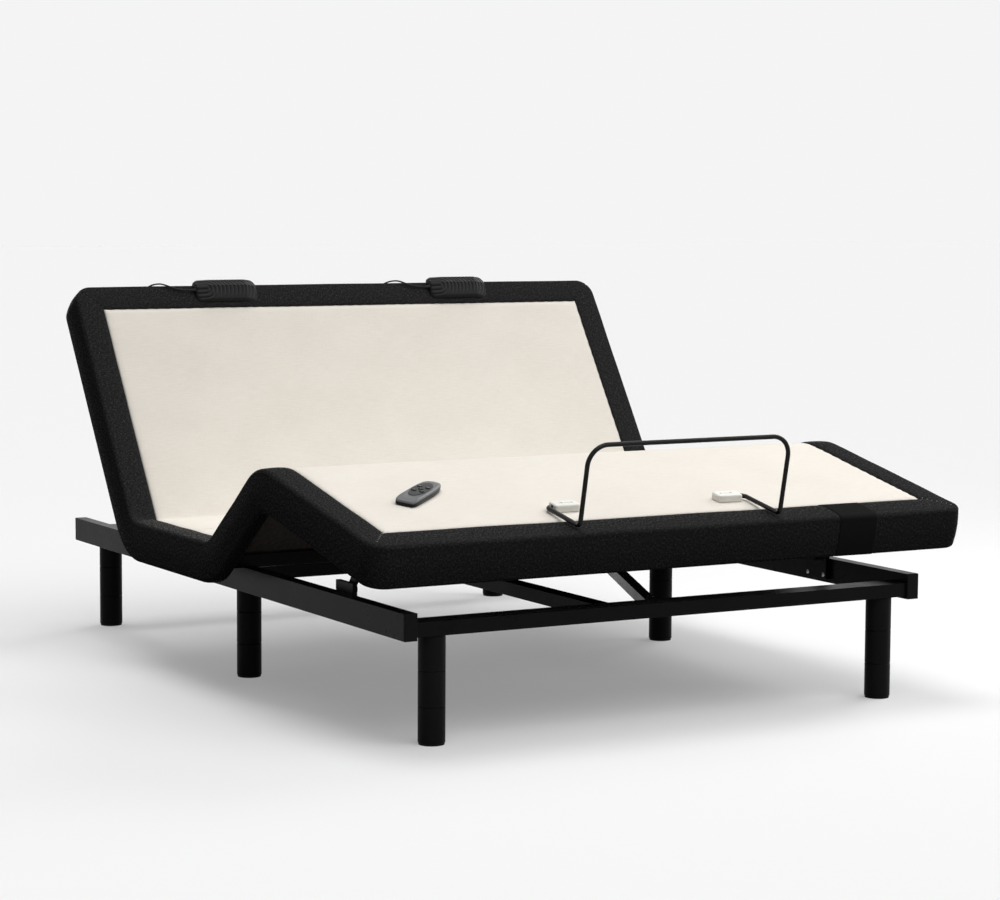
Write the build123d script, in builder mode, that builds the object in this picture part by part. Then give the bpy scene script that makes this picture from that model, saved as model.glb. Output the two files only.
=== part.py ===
from build123d import *
import os
from math import cos, hypot, radians, sin, sqrt, tan

# Deck, in millimetres: four padded sections from the head end to the foot end
deck_width = 1484.0
head_length = 662.0
seat_length = 455.0
thigh_length = 322.0
calf_length = 546.0
deck_depth = 94.0
pad_thickness = 18.0
board_thickness = 15.0
border_width = 67.0
foot_border = 88.0
skirt_thickness = 30.0
corner_radius = 45.0
edge_radius = 14.0
hem_radius = 9.0
seam_gap = 0.6
pad_gap = 0.5
gusset_gap = 0.3

# Angles of the sections as they stand in the raised position, and their upper limits
head_angle = 56.0
head_limit = 65.0
thigh_angle = 37.0
thigh_limit = 42.0
calf_slope = 12.0
fold_ratio = (thigh_angle + calf_slope) / thigh_angle

# Steel frame
leg_height = 227.0
leg_diameter = 57.0
leg_inset = 177.0
leg_span = deck_width - 2 * leg_inset
leg_pieces = 3
leg_chamfer = 1.2
glide_height = 4.0
glide_diameter = 54.0
stud_radius = 5.0
stud_length = 14.0
stud_clearance = 0.3
rail_inset = 95.0
rail_span = deck_width - 2 * rail_inset
rail_width = 30.0
rail_height = 57.0
rail_drop = 6.0
rail_length = 1815.0
rail_head_reach = 599.0
tube_wall = 2.5
cap_thickness = 3.0
cap_plug = 14.0
cap_clearance = 0.3
crossbar_depth = 60.0
crossbar_height = 30.0
crossbar_recess = 4.0
mid_crossbar_reach = 290.0
headboard_hole = 9.0
headboard_spacing = 60.0
headboard_offset = 480.0
brace_width = 25.0
brace_foot_x = -16.0
brace_mid_x = 349.0

# Deck tubes, which lie between the rails and the boards
tube_height = 30.0
tube_width = 30.0
cross_tube_width = 40.0
flat_clearance = 1.0
weld_gap = 0.3
seat_tube_inset = 35.0
seat_tube_reach = deck_width / 2 - seat_tube_inset
seat_rear_tube = 75.0
seat_front_tube = 2.0
side_tube_inset = 222.0
side_tube_x = deck_width / 2 - side_tube_inset
calf_tube_inset = 167.0
calf_tube_x = deck_width / 2 - calf_tube_inset
first_tube_setback = 70.0
last_tube_setback = 50.0

# Butt hinges on the three fold lines
hinge_inset = 142.0
hinge_inner_x = 230.0
hinge_outer_x = deck_width / 2 - hinge_inset
hinge_stations = (-hinge_outer_x, -hinge_inner_x, hinge_inner_x, hinge_outer_x)
hinge_width = 90.0
leaf_length = 40.0
leaf_thickness = 3.0
leaf_clearance = 0.3
barrel_radius = 5.5
hinge_pin_radius = 3.0
hinge_pin_clearance = 0.06
knuckle_gap = 0.5
board_setback = 8.0

# Screw drives: a channel beam each, a travelling nut and the lever that it pushes
drive_x = 145.0
channel_width = 40.0
channel_wall = 3.0
channel_clearance = 0.5
screw_radius = 6.0
screw_clearance = 0.1
screw_length = 300.0
screw_seat = 20.0
bearing_length = 12.0
gearbox_length = 64.0
gearbox_width = 64.0
gearbox_height = 58.0
gearbox_drop = 13.0
motor_radius = 28.0
motor_length = 105.0
nut_length = 56.0
nut_overhang = 10.0
nut_crown = 16.0
cheek_thickness = 7.5
cheek_bottom = 5.0
stub_roller_radius = 7.0
stub_roller_length = 12.0
head_stub_height = 15.0
leg_stub_height = 11.0
lever_radius = 88.0
lever_nose = 14.0
lever_thickness = 8.0
lever_side_gap = 2.0
push_gap = 0.4
lever_inner = 66.0
lever_outer = 104.0
lever_heel = 112.0
lever_instep = 62.0
lever_elbow = (40.0, 56.0)
lever_throat = (0.8, 0.85)
lever_chin = 12.6
lever_back = (73.0, 83.0)
lever_root = 62.0

# Links that carry the calf section from brackets on the rails
link_pivot_reach = 887.0
link_pivot_rise = 6.0
link_thickness = 6.0
link_half_width = 13.0
link_pin_radius = 5.0
link_pin_clearance = 0.06
link_eye_radius = 10.0
link_side_gap = 2.0
link_pin_head = 14.0
link_head_thickness = 4.0
link_bracket_thickness = 11.0
link_bracket_width = 80.0
link_bracket_depth = 48.0
link_bracket_top = 16.0
link_ear_reach = 282.0
link_ear_drop = 25.0
link_ear_thickness = 5.5

# Mattress retainer at the foot
retainer_span = 500.0
retainer_shift = -11.0
retainer_radius = 5.0
retainer_reach = 533.5
retainer_anchor = 395.0
retainer_stub = 60.0
retainer_seat = 8.0
retainer_lift = 11.0
retainer_rise = 174.0
retainer_top_bend = 45.0
retainer_low_bend = 13.0
clip_length = 62.0
clip_width = 34.0
clip_height = 16.0
clip_clearance = 0.05

# Presence sensors on the head border, with their leads
sensor_inset = 410.0
sensor_x = deck_width / 2 - sensor_inset
sensor_shift = -9.0
sensor_length = 172.0
sensor_width = 64.0
sensor_height = 22.0
sensor_setback = -10.0
sensor_rounding = 7.0
cord_radius = 2.0
grommet_radius = 6.0
grommet_height = 4.0

# Remote control, lying on the calf section
remote_inset = 252.0
remote_x = remote_inset - deck_width / 2
remote_reach = 260.0
remote_turn = 39.6
remote_length = 172.0
remote_width = 50.0
remote_depth = 16.0
remote_rounding = 20.0
face_length = 104.0
face_width = 37.0
face_thickness = 1.2
key_radius = 5.5
key_clearance = 0.3
key_travel = 1.0
key_proud = 1.6
key_depth = 4.5
key_pitch = 16.0
key_offset = 9.0

# Control box
box_x = -350.0
box_length = 160.0
box_width = 100.0
box_height = 40.0
box_lift = 5.0
inlet_length = 28.0
inlet_height = 20.0
inlet_depth = 14.0

# Heights that follow from the stack of legs, rails, tubes, boards and pads
rail_bottom = leg_height - rail_drop
rail_top = rail_bottom + rail_height
axis_height = rail_top + tube_height + board_thickness
skirt_bottom = pad_thickness - deck_depth
moving_tube = tube_height - flat_clearance
knee_drop = board_thickness + barrel_radius + pad_gap
calf_top = knee_drop + pad_thickness
calf_bottom = calf_top - deck_depth

# Ends of the soft edges at each fold, cut back so that they close up without meeting
head_cut = pad_thickness * tan(radians(head_limit / 2)) + seam_gap
thigh_cut = pad_thickness * tan(radians(thigh_limit / 2)) + seam_gap
knee_cut = -calf_bottom * tan(radians(thigh_limit * fold_ratio / 2)) + seam_gap

# Places along the bed: the middle of the whole length is the origin
knee_back = thigh_length * cos(radians(thigh_angle)) + knee_drop * sin(radians(thigh_angle))
knee_rise = thigh_length * sin(radians(thigh_angle)) - knee_drop * cos(radians(thigh_angle))
retainer_top = calf_top + retainer_lift + retainer_rise
retainer_out = retainer_reach * cos(radians(calf_slope)) + retainer_top * sin(radians(calf_slope))
foot_reach = seat_length + knee_back + retainer_out + retainer_radius
head_reach = rail_head_reach + cap_thickness
head_hinge_y = (foot_reach - head_reach) / 2
thigh_hinge_y = head_hinge_y - seat_length
knee_y = thigh_hinge_y - knee_back
knee_z = axis_height + knee_rise
rail_head_end = head_hinge_y + rail_head_reach
rail_foot_end = rail_head_end - rail_length
foot_crossbar_y = rail_foot_end + crossbar_recess + crossbar_depth / 2
head_crossbar_y = rail_head_end - crossbar_recess - crossbar_depth / 2
mid_crossbar_y = head_hinge_y - mid_crossbar_reach
crossbar_rows = (foot_crossbar_y, mid_crossbar_y, head_crossbar_y)
rail_inner = rail_span / 2 - rail_width


def tilted(y, z, angle):
    """Frame of a deck section: x across the bed, y along the section, z up out of its board."""
    turn = radians(angle)
    return Plane(origin=(0, y, z), x_dir=(1, 0, 0), z_dir=(0, -sin(turn), cos(turn)))


bed = tilted(0, 0, 0)
seat_frame = tilted(head_hinge_y, axis_height, 0)
seat_front = tilted(thigh_hinge_y, axis_height, 0)
head_frame = tilted(head_hinge_y, axis_height, head_angle)
thigh_frame = tilted(thigh_hinge_y, axis_height, -thigh_angle)
knee_frame = tilted(knee_y, knee_z, -thigh_angle)
calf_frame = tilted(knee_y, knee_z, calf_slope)


def side_of(frame, x):
    """Plane seen from the bed's right side, with the section's length across and its height up."""
    return Plane(origin=frame.from_local_coords((x, 0, 0)), x_dir=frame.y_dir, z_dir=frame.x_dir)


def end_of(frame, y):
    """Plane across a section, with x across and its height up, facing along the section."""
    return Plane(origin=frame.from_local_coords((0, y, 0)), x_dir=frame.x_dir, z_dir=-frame.y_dir)


def slab(frame, x_range, y_range, z_range, mode=Mode.ADD):
    """Straight block between two values of each of a frame's axes."""
    with BuildSketch(frame.offset(z_range[0])) as profile:
        with Locations((sum(x_range) / 2, sum(y_range) / 2)):
            Rectangle(x_range[1] - x_range[0], y_range[1] - y_range[0])
    extrude(profile.sketch, amount=z_range[1] - z_range[0], mode=mode)


def side_prism(frame, outline, x_range, mode=Mode.ADD):
    """Outline drawn from the side and carried across the bed."""
    with BuildSketch(side_of(frame, x_range[0])) as profile:
        with BuildLine():
            Polyline(*outline, close=True)
        make_face()
    extrude(profile.sketch, amount=x_range[1] - x_range[0], mode=mode)


def cross_rod(frame, y, z, radius, x_range, mode=Mode.ADD):
    """Round bar across the bed."""
    with BuildSketch(side_of(frame, x_range[0])) as profile:
        with Locations((y, z)):
            Circle(radius)
    extrude(profile.sketch, amount=x_range[1] - x_range[0], mode=mode)


def long_rod(frame, x, z, radius, y_range, mode=Mode.ADD):
    """Round bar along the bed."""
    with BuildSketch(end_of(frame, y_range[0])) as profile:
        with Locations((x, z)):
            Circle(radius)
    extrude(profile.sketch, amount=y_range[0] - y_range[1], mode=mode)


def cross_tube(frame, x_range, y_range, z_range):
    """Rectangular tube across the bed, open at both ends."""
    slab(frame, x_range, y_range, z_range)
    inner_y = (y_range[0] + tube_wall, y_range[1] - tube_wall)
    inner_z = (z_range[0] + tube_wall, z_range[1] - tube_wall)
    slab(frame, x_range, inner_y, inner_z, Mode.SUBTRACT)


def long_tube(frame, x_range, y_range, z_range):
    """Rectangular tube along the bed, open at both ends."""
    slab(frame, x_range, y_range, z_range)
    inner_x = (x_range[0] + tube_wall, x_range[1] - tube_wall)
    inner_z = (z_range[0] + tube_wall, z_range[1] - tube_wall)
    slab(frame, inner_x, y_range, inner_z, Mode.SUBTRACT)


def both_sides(inner, outer):
    """The same span of x on the right and on the left."""
    return ((inner, outer), (-outer, -inner))


def border_profile(top):
    """Cross-section of the padded edge at the right: a flange on the board and a skirt outside it."""
    outer = deck_width / 2
    inner = outer - skirt_thickness
    points = [(outer, top), (outer, top - deck_depth), (inner, top - deck_depth)]
    points += [(inner, top - pad_thickness), (outer - border_width, top - pad_thickness)]
    points += [(outer - border_width, top)]
    return points, [edge_radius, hem_radius, hem_radius, 0, 0, 0]


def straight_borders(frame, y_range, top):
    """Padded edges down both sides of a section."""
    points, radii = border_profile(top)
    for side in (1, -1):
        with BuildSketch(end_of(frame, y_range[0])) as profile:
            with BuildLine():
                FilletPolyline(*[(side * x, z) for x, z in points], radius=radii, close=True)
            make_face()
        extrude(profile.sketch, amount=y_range[0] - y_range[1])


def closed_border(frame, fold_end, free_end, top, end_width):
    """Padded edge round three sides of an end section, mitred and then parted at its two corners."""
    outer = deck_width / 2
    points, radii = border_profile(top)
    with BuildLine(frame) as route:
        Polyline((outer, fold_end, 0), (outer, free_end, 0), (-outer, free_end, 0), (-outer, fold_end, 0))
    with BuildSketch(end_of(frame, fold_end)) as profile:
        with BuildLine():
            FilletPolyline(*points, radius=radii, close=True)
        make_face()
    sweep(profile.sketch, path=route.wires()[0], transition=Transition.RIGHT)
    length = abs(free_end - fold_end)
    with BuildSketch(frame.offset(top - deck_depth)) as profile:
        with Locations((0, (fold_end + free_end) / 2)):
            Rectangle(deck_width, length)
        with Locations((0, fold_end)):
            RectangleRounded(deck_width, 2 * length, corner_radius, mode=Mode.INTERSECT)
    extrude(profile.sketch, amount=deck_depth, mode=Mode.INTERSECT)
    toward = 1 if free_end > fold_end else -1
    for side in (1, -1):
        with BuildSketch(frame.offset(top - deck_depth)) as profile:
            with Locations(Location((side * outer, free_end, 0), (0, 0, side * toward * 45))):
                Rectangle(4 * border_width, seam_gap)
        extrude(profile.sketch, amount=deck_depth, mode=Mode.SUBTRACT)
    if end_width > border_width:
        inner = outer - border_width - 2 * seam_gap
        strip = sorted((free_end - toward * end_width, free_end - toward * border_width))
        slab(frame, (-inner, inner), strip, (top - pad_thickness, top))


def hinge(frame, toward, leaf_z, fixed):
    """Butt hinge halves on one side of a fold: outer knuckles with the pin, or the middle knuckle."""
    reach = barrel_radius + knuckle_gap
    third = hinge_width / 3
    for station in hinge_stations:
        left = station - hinge_width / 2
        right = station + hinge_width / 2
        middle = (left + third + knuckle_gap, right - third - knuckle_gap)
        spans = ((left, left + third), (right - third, right)) if fixed else (middle,)
        leaf = sorted((toward * reach, toward * leaf_length))
        slab(frame, (left, right), leaf, leaf_z)
        for span in spans:
            slab(frame, span, sorted((0, toward * reach)), leaf_z)
            cross_rod(frame, 0, 0, barrel_radius, span)
        if fixed:
            cross_rod(frame, 0, 0, hinge_pin_radius, (left, right))
        else:
            bore = hinge_pin_radius + hinge_pin_clearance
            cross_rod(frame, 0, 0, bore, middle, Mode.SUBTRACT)


def hinge_rebates(frame, toward):
    """Shallow seats in a board for the hinge leaves that lie flush in its top."""
    depth = (-leaf_thickness - leaf_clearance, 0)
    length = sorted((0, toward * (leaf_length + leaf_clearance)))
    half = hinge_width / 2 + leaf_clearance
    for station in hinge_stations:
        slab(frame, (station - half, station + half), length, depth, Mode.SUBTRACT)


def lever_plate(frame, toward, middle_angle, x_range):
    """Curved plate from a cross tube down to a round nose under the hinge."""
    nose_y = -toward * lever_radius * sin(radians(middle_angle))
    nose_z = -lever_radius * cos(radians(middle_angle))
    tube_bottom = -board_thickness - moving_tube
    outline = [(toward * lever_heel, tube_bottom), (toward * lever_instep, tube_bottom)]
    outline += [(toward * lever_elbow[0], -lever_elbow[1]), (0, -lever_inner - seam_gap)]
    outline += [(nose_y * lever_throat[0], nose_z * lever_throat[1]), (nose_y, nose_z - lever_chin)]
    outline += [(0, -lever_outer), (toward * lever_back[0], -lever_back[1])]
    outline += [(toward * lever_heel, -lever_root)]
    side_prism(frame, outline, x_range)
    cross_rod(frame, nose_y, nose_z, lever_nose, x_range)


def nose_place(hinge_y, toward, middle_angle, raised_angle):
    """Where the lever's nose stands in the bed with its section raised."""
    swing = radians(raised_angle - middle_angle)
    return hinge_y + toward * lever_radius * sin(swing), axis_height - lever_radius * cos(swing)


def roller_place(hinge_y, toward, middle_angle, raised_angle, stub_z):
    """Place along the bed of the nut's rollers, just behind the lever's nose."""
    nose_y, nose_z = nose_place(hinge_y, toward, middle_angle, raised_angle)
    apart = lever_nose + stub_roller_radius + push_gap
    return nose_y - toward * sqrt(apart**2 - (nose_z - stub_z) ** 2)


def nut_outline(x, base):
    """Cross-section of a travelling nut: it fills the channel and wraps its two walls."""
    half = channel_width / 2
    core = half - channel_wall - channel_clearance
    slot = half + channel_clearance
    wing = slot + cheek_thickness
    floor = base + channel_wall + channel_clearance
    lip = base + crossbar_height + channel_clearance
    low = base + cheek_bottom
    crown = lip + nut_crown
    right = [(core, floor), (core, lip), (slot, lip), (slot, low), (wing, low), (wing, crown)]
    left = [(-across, height) for across, height in reversed(right)]
    return [(x + across, height) for across, height in right + left]


def travelling_nut(x, roller_y, stub_z, toward):
    """Nut on its screw, with a roller out at each side."""
    screw_z = leg_height + crossbar_height / 2 + channel_wall / 2
    ends = sorted((roller_y - toward * nut_overhang, roller_y + toward * (nut_length - nut_overhang)))
    with BuildSketch(end_of(bed, ends[0])) as profile:
        with BuildLine():
            Polyline(*nut_outline(x, leg_height), close=True)
        make_face()
    extrude(profile.sketch, amount=ends[0] - ends[1])
    long_rod(bed, x, screw_z, screw_radius + screw_clearance, ends, Mode.SUBTRACT)
    wing = channel_width / 2 + channel_clearance + cheek_thickness
    for span in both_sides(wing, wing + stub_roller_length):
        cross_rod(bed, roller_y, stub_z, stub_roller_radius, (x + span[0], x + span[1]))


def fan(centre, start, sweep_angle, inner, outer, x_range):
    """Soft gusset: a sector about a fold line, kept clear of the two section ends beside it."""
    inset = (gusset_gap - seam_gap) / sin(radians(sweep_angle / 2))
    middle = radians(start + sweep_angle / 2)
    apex = (centre[0] + inset * cos(middle), centre[1] + inset * sin(middle))

    def at(radius, angle):
        return apex[0] + radius * cos(radians(angle)), apex[1] + radius * sin(radians(angle))

    stop = start + sweep_angle
    with BuildSketch(side_of(bed, x_range[0])) as profile:
        with BuildLine():
            Line(at(inner, start), at(outer, start))
            ThreePointArc(at(outer, start), at(outer, start + sweep_angle / 2), at(outer, stop))
            Line(at(outer, stop), at(inner, stop))
            ThreePointArc(at(inner, stop), at(inner, start + sweep_angle / 2), at(inner, start))
        make_face()
    extrude(profile.sketch, amount=x_range[1] - x_range[0])


def bend_radii(points, share=0.45):
    """Largest even bends along a route: a share of the shorter run beside each corner."""
    radii = []
    for before, here, after in zip(points, points[1:], points[2:]):
        run_in = Vector(*here) - Vector(*before)
        run_out = Vector(*after) - Vector(*here)
        half_turn = radians(run_in.get_angle(run_out) / 2)
        radii.append(share * min(run_in.length, run_out.length) / tan(half_turn))
    return radii


os.makedirs("parts", exist_ok=True)

# Side rails with plugged ends
rail_sides = {"side_rail_right": 1, "side_rail_left": -1}
for rail_name, side in rail_sides.items():
    with BuildPart() as side_rail:
        rail_x = sorted((side * rail_inner, side * rail_span / 2))
        long_tube(bed, rail_x, (rail_foot_end, rail_head_end), (rail_bottom, rail_top))
    side_rail.part.label = rail_name
    export_step(side_rail.part, f"parts/{rail_name}.step")

with BuildPart() as rail_end_caps:
    plug = tube_wall + cap_clearance
    for span in both_sides(rail_inner, rail_span / 2):
        plug_x = (span[0] + plug, span[1] - plug)
        plug_z = (rail_bottom + plug, rail_top - plug)
        for end, outward in ((rail_head_end, 1), (rail_foot_end, -1)):
            plate_y = sorted((end, end + outward * cap_thickness))
            slab(bed, span, plate_y, (rail_bottom, rail_top))
            slab(bed, plug_x, sorted((end, end - outward * cap_plug)), plug_z)
rail_end_caps.part.label = "rail_end_caps"
export_step(rail_end_caps.part, "parts/rail_end_caps.step")

# Crossbars between the rails, drilled for the leg studs, the head one for a headboard too
crossbar_names = ("foot_crossbar", "mid_crossbar", "head_crossbar")
for bar_name, row in zip(crossbar_names, crossbar_rows):
    bar_y = (row - crossbar_depth / 2, row + crossbar_depth / 2)
    with BuildPart() as crossbar:
        cross_tube(bed, (-rail_inner, rail_inner), bar_y, (leg_height, leg_height + crossbar_height))
        with BuildSketch(bed.offset(leg_height)):
            with Locations((-leg_span / 2, row), (leg_span / 2, row)):
                Circle(stud_radius + stud_clearance)
        extrude(amount=tube_wall, mode=Mode.SUBTRACT)
        if bar_name == "head_crossbar":
            with BuildSketch(end_of(bed, bar_y[1])):
                for centre in (-headboard_offset, headboard_offset):
                    for step in (-headboard_spacing / 2, headboard_spacing / 2):
                        with Locations((centre + step, leg_height + crossbar_height / 2)):
                            Circle(headboard_hole / 2)
            extrude(amount=tube_wall, mode=Mode.SUBTRACT)
    crossbar.part.label = bar_name
    export_step(crossbar.part, f"parts/{bar_name}.step")

# Diagonal brace in the frame's plane, cut to the faces of the two crossbars
with BuildPart() as diagonal_brace:
    brace_y = (foot_crossbar_y + crossbar_depth / 2, mid_crossbar_y - crossbar_depth / 2)
    lean = hypot(brace_mid_x - brace_foot_x, brace_y[1] - brace_y[0]) / (brace_y[1] - brace_y[0])
    half_cut = brace_width * lean / 2
    with BuildSketch(bed.offset(leg_height + (crossbar_height - brace_width) / 2)):
        with BuildLine():
            Polyline(
                (brace_foot_x - half_cut, brace_y[0]),
                (brace_foot_x + half_cut, brace_y[0]),
                (brace_mid_x + half_cut, brace_y[1]),
                (brace_mid_x - half_cut, brace_y[1]),
                close=True,
            )
        make_face()
    extrude(amount=brace_width)
diagonal_brace.part.label = "diagonal_brace"
export_step(diagonal_brace.part, "parts/diagonal_brace.step")

# Six legs of three screwed sections each, every section with a stud into the piece above
leg_places = [(side * leg_span / 2, row) for side in (-1, 1) for row in crossbar_rows]
piece_height = (leg_height - glide_height) / leg_pieces
leg_names = ("leg_lower_sections", "leg_middle_sections", "leg_upper_sections")
for level, leg_name in enumerate(leg_names):
    base = glide_height + level * piece_height
    with BuildPart() as leg_section:
        with BuildSketch(bed.offset(base)):
            with Locations(*leg_places):
                Circle(leg_diameter / 2)
        extrude(amount=piece_height)
        rims = leg_section.edges().filter_by(GeomType.CIRCLE)
        chamfer(rims, leg_chamfer)
        with BuildSketch(bed.offset(base + piece_height)):
            with Locations(*leg_places):
                Circle(stud_radius)
        extrude(amount=stud_length)
        if level > 0:
            with BuildSketch(bed.offset(base)):
                with Locations(*leg_places):
                    Circle(stud_radius + stud_clearance)
            extrude(amount=stud_length + stud_clearance, mode=Mode.SUBTRACT)
    leg_section.part.label = leg_name
    export_step(leg_section.part, f"parts/{leg_name}.step")

with BuildPart() as leg_glides:
    with BuildSketch(bed):
        with Locations(*leg_places):
            Circle(glide_diameter / 2)
    extrude(amount=glide_height)
leg_glides.part.label = "leg_glides"
export_step(leg_glides.part, "parts/leg_glides.step")

# Screw drives between the crossbars: the head one pushes to the head, the leg one to the foot
channel_z = (leg_height, leg_height + crossbar_height)
screw_z = leg_height + crossbar_height / 2 + channel_wall / 2
gearbox_z = (leg_height - gearbox_drop, leg_height - gearbox_drop + gearbox_height)
drives = {}
for drive_name, x, toward, bar_y in (
    ("head", drive_x, 1, head_crossbar_y),
    ("leg", -drive_x, -1, foot_crossbar_y),
):
    box_start = mid_crossbar_y + toward * crossbar_depth / 2
    box_end = box_start + toward * gearbox_length
    beam_end = bar_y - toward * crossbar_depth / 2
    drives[drive_name] = (x, toward, box_start, box_end, beam_end)

with BuildPart() as drive_channels:
    for x, toward, box_start, box_end, beam_end in drives.values():
        half = channel_width / 2
        inside = half - channel_wall
        beam_y = sorted((box_end, beam_end))
        slab(bed, (x - half, x + half), beam_y, channel_z)
        hollow_z = (leg_height + channel_wall, leg_height + crossbar_height)
        slab(bed, (x - inside, x + inside), beam_y, hollow_z, Mode.SUBTRACT)
        bearing = box_end + toward * screw_length
        bearing_y = sorted((bearing, bearing - toward * bearing_length))
        slab(bed, (x - inside, x + inside), bearing_y, (hollow_z[0], screw_z + screw_radius * 2))
        long_rod(bed, x, screw_z, screw_radius + screw_clearance, bearing_y, Mode.SUBTRACT)
drive_channels.part.label = "drive_channels"
export_step(drive_channels.part, "parts/drive_channels.step")

with BuildPart() as drive_gearboxes:
    for x, toward, box_start, box_end, beam_end in drives.values():
        half = gearbox_width / 2
        slab(bed, (x - half, x + half), sorted((box_start, box_end)), gearbox_z)
        seat_y = sorted((box_end, box_end - toward * (screw_seat + screw_clearance)))
        long_rod(bed, x, screw_z, screw_radius + screw_clearance, seat_y, Mode.SUBTRACT)
drive_gearboxes.part.label = "drive_gearboxes"
export_step(drive_gearboxes.part, "parts/drive_gearboxes.step")

with BuildPart() as drive_motors:
    for x, toward, box_start, box_end, beam_end in drives.values():
        face = x - toward * gearbox_width / 2
        span = sorted((face, face - toward * motor_length))
        cross_rod(bed, (box_start + box_end) / 2, sum(gearbox_z) / 2, motor_radius, span)
drive_motors.part.label = "drive_motors"
export_step(drive_motors.part, "parts/drive_motors.step")

for drive_name, (x, toward, box_start, box_end, beam_end) in drives.items():
    screw_name = f"{drive_name}_drive_screw"
    screw_y = sorted((box_end - toward * screw_seat, box_end + toward * screw_length))
    with BuildPart() as drive_screw:
        long_rod(bed, x, screw_z, screw_radius, screw_y)
    drive_screw.part.label = screw_name
    export_step(drive_screw.part, f"parts/{screw_name}.step")

nut_settings = {
    "head": (head_hinge_y, 1, head_limit / 2, head_angle, leg_height + head_stub_height),
    "leg": (thigh_hinge_y, -1, thigh_limit / 2, thigh_angle, leg_height + leg_stub_height),
}
for drive_name, (hinge_y, toward, middle, raised, stub_z) in nut_settings.items():
    nut_name = f"{drive_name}_drive_nut"
    with BuildPart() as drive_nut:
        roller_y = roller_place(hinge_y, toward, middle, raised, stub_z)
        travelling_nut(drives[drive_name][0], roller_y, stub_z, toward)
    drive_nut.part.label = nut_name
    export_step(drive_nut.part, f"parts/{nut_name}.step")

# Control box on the middle crossbar, with its power socket
with BuildPart() as control_box:
    box_x_range = (box_x - box_length / 2, box_x + box_length / 2)
    box_y = (mid_crossbar_y + crossbar_depth / 2, mid_crossbar_y + crossbar_depth / 2 + box_width)
    box_z = (leg_height + box_lift, leg_height + box_lift + box_height)
    slab(bed, box_x_range, box_y, box_z)
    fillet(control_box.edges().filter_by(Axis.Z).group_by(Axis.Y)[-1], box_lift)
    inlet_x = (box_x - inlet_length / 2, box_x + inlet_length / 2)
    inlet_z = (sum(box_z) / 2 - inlet_height / 2, sum(box_z) / 2 + inlet_height / 2)
    slab(bed, inlet_x, (box_y[1] - inlet_depth, box_y[1]), inlet_z, Mode.SUBTRACT)
control_box.part.label = "control_box"
export_step(control_box.part, "parts/control_box.step")

# Brackets on the rails that the links turn on
link_pivot_y = head_hinge_y - link_pivot_reach
link_pivot_z = rail_top + link_pivot_rise
bracket_face = rail_inner - link_bracket_thickness
link_outer = bracket_face - link_side_gap
link_inner = link_outer - link_thickness
with BuildPart() as link_brackets:
    bracket_y = (link_pivot_y - link_bracket_width / 2, link_pivot_y + link_bracket_width / 2)
    bracket_z = (rail_top - link_bracket_depth, link_pivot_z + link_bracket_top)
    for side in (1, -1):
        slab(bed, sorted((side * bracket_face, side * rail_inner)), bracket_y, bracket_z)
        pin_end = link_inner - link_side_gap
        pin_span = sorted((side * pin_end, side * bracket_face))
        cross_rod(bed, link_pivot_y, link_pivot_z, link_pin_radius, pin_span)
        head_span = sorted((side * pin_end, side * (pin_end - link_head_thickness)))
        cross_rod(bed, link_pivot_y, link_pivot_z, link_pin_head, head_span)
link_brackets.part.label = "link_brackets"
export_step(link_brackets.part, "parts/link_brackets.step")

# Links from those pivots up to pins on the calf section
ear_point = calf_frame.from_local_coords((0, -link_ear_reach, -link_ear_drop))
with BuildPart() as calf_links:
    link_vector = Vector(0, ear_point.Y - link_pivot_y, ear_point.Z - link_pivot_z)
    for side in (1, -1):
        x_low = min(side * link_inner, side * link_outer)
        link_plane = Plane(origin=(x_low, link_pivot_y, link_pivot_z), x_dir=link_vector, z_dir=(1, 0, 0))
        with BuildSketch(link_plane):
            with Locations((link_vector.length / 2, 0)):
                SlotCenterToCenter(link_vector.length, 2 * link_half_width)
            Circle(link_pin_radius + link_pin_clearance, mode=Mode.SUBTRACT)
            with Locations((link_vector.length, 0)):
                Circle(link_eye_radius, mode=Mode.SUBTRACT)
        extrude(amount=link_thickness)
calf_links.part.label = "calf_links"
export_step(calf_links.part, "parts/calf_links.step")

# Seat: two cross tubes on the rails, a board, its pad and the padded edges
seat_tube_z = (-board_thickness - tube_height, -board_thickness)
with BuildPart() as seat_cross_tubes:
    rear = (-seat_rear_tube - cross_tube_width, -seat_rear_tube)
    front = (-seat_length + seat_front_tube, -seat_length + seat_front_tube + cross_tube_width)
    for tube_y in (rear, front):
        cross_tube(seat_frame, (-seat_tube_reach, seat_tube_reach), tube_y, seat_tube_z)
seat_cross_tubes.part.label = "seat_cross_tubes"
export_step(seat_cross_tubes.part, "parts/seat_cross_tubes.step")

board_half = deck_width / 2 - skirt_thickness - pad_gap
pad_half = deck_width / 2 - border_width - pad_gap
board_z = (-board_thickness, 0)
with BuildPart() as seat_board:
    slab(seat_frame, (-board_half, board_half), (-seat_length + board_setback, -board_setback), board_z)
    hinge_rebates(seat_frame, -1)
    hinge_rebates(seat_front, 1)
seat_board.part.label = "seat_board"
export_step(seat_board.part, "parts/seat_board.step")

head_pad_cut = max(head_cut, board_setback)
thigh_pad_cut = max(thigh_cut, board_setback)
seat_pad_outline = [
    (-board_setback, 0),
    (-head_pad_cut, pad_thickness),
    (-seat_length + thigh_pad_cut, pad_thickness),
    (-seat_length + board_setback, 0),
]
with BuildPart() as seat_pad:
    side_prism(seat_frame, seat_pad_outline, (-pad_half, pad_half))
seat_pad.part.label = "seat_pad"
export_step(seat_pad.part, "parts/seat_pad.step")

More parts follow.
